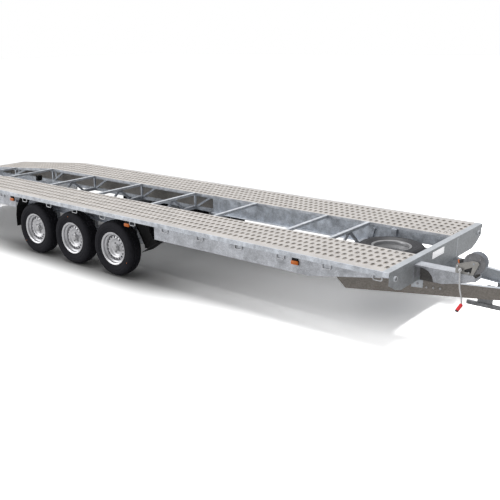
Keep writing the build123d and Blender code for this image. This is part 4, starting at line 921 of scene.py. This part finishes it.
for side_name, side in SIDES:
    wall = flat_sheet("wall", tyre_edge + guard_edge, side * GUARD_Y, black_plastic)
    wall = joined_pieces("front_guard_wall_" + side_name, placed("wall", wall))
    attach(wall, "chassis")
    box = flat_sheet("box", box_edge, side * BOX_Y, box_zinc)
    box.materials.append(bright_box_zinc)
    for face in box.polygons:
        face.material_index = int(side * face.normal.y > 0.5)
    box = joined_pieces("wheel_box_wall_" + side_name, placed("box", box))
    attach(box, "chassis")
hook_zinc = galvanised("hook_zinc", (0.52, 0.53, 0.55), cloud=0.10, size=0.2, metallic=0.6)
finish(hook_zinc, "tie_hooks_left", "tie_hooks_right")
for side_name, _ in SIDES:
    hooks = placed("hook_row_" + side_name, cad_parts["tie_hooks_" + side_name].data.copy())
    for vertex in hooks.data.vertices:
        centre = FIRST_HOOK - HOOK_PITCH * round((FIRST_HOOK - vertex.co.x) / HOOK_PITCH)
        vertex.co.x = centre + (vertex.co.x - centre) * HOOK_WIDENING
    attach(hooks, "chassis")
    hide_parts("tie_hooks_" + side_name)


# Lamps
# Three amber side markers hang under each rim. A lamp with a clear, an amber and a red lens sits at
# each end of the rear beam.
amber_lens = painted("amber_lens", (0.50, 0.115, 0.004), roughness=0.3, coat=0.2, specular=0.3)
red_lens = painted("red_lens", (0.50, 0.015, 0.02), roughness=0.18, coat=0.5)
clear_lens = painted("clear_lens", (0.75, 0.76, 0.78), roughness=0.15, coat=0.5)
MARKERS_X = (2.334, 0.106, -2.065)
TAIL_LAMP_Z = 0.513
lamps = []
for side in (1, -1):
    for x in MARKERS_X:
        for name, size, y, z, material, bevel in (
                ("lens", (0.080, 0.020, 0.038), 1.0605, 0.648, amber_lens, 0.009),
                ("base", (0.080, 0.006, 0.040), 1.0500, 0.648, black_plastic, 0.001),
                ("bracket", (0.062, 0.014, 0.0267), 1.054, 0.6813, black_plastic, 0.001)):
            lamps.append(placed(name, block(name, size, material, bevel), at(x, side * y, z)))
markers = rounded(joined_pieces("side_marker_lamps", *lamps))
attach(markers, "chassis")
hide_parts("marker_lamps")
for side_name, side in SIDES:
    case = block("case", (0.016, 0.200, 0.090), black_plastic, 0.004)
    parts = [placed("case", case, at(-4.743, side * 0.930, TAIL_LAMP_Z))]
    for y, width, lens in ((0.870, 0.062, clear_lens), (0.930, 0.054, amber_lens),
                           (0.990, 0.062, red_lens)):
        parts.append(placed("lens", block("lens", (0.012, width, 0.082), lens, 0.003),
                            at(-4.7538, side * y, TAIL_LAMP_Z)))
    tail_lamp = rounded(joined_pieces("tail_lamp_unit_" + side_name, *parts))
    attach(tail_lamp, "chassis")
    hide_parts("tail_lamp_" + side_name)


# Loading ramps
# Two aluminium ladder ramps slide into guides under the tail. They come out through the mouths in
# the rear beam.
ramp_alloy = galvanised("ramp_alloy", (0.55, 0.56, 0.57), cloud=0.05, roughness=0.35, metallic=0.6)
finish(ramp_alloy, "ramp_left", "ramp_right")
finish(under_zinc, "ramp_guide_left", "ramp_guide_right")
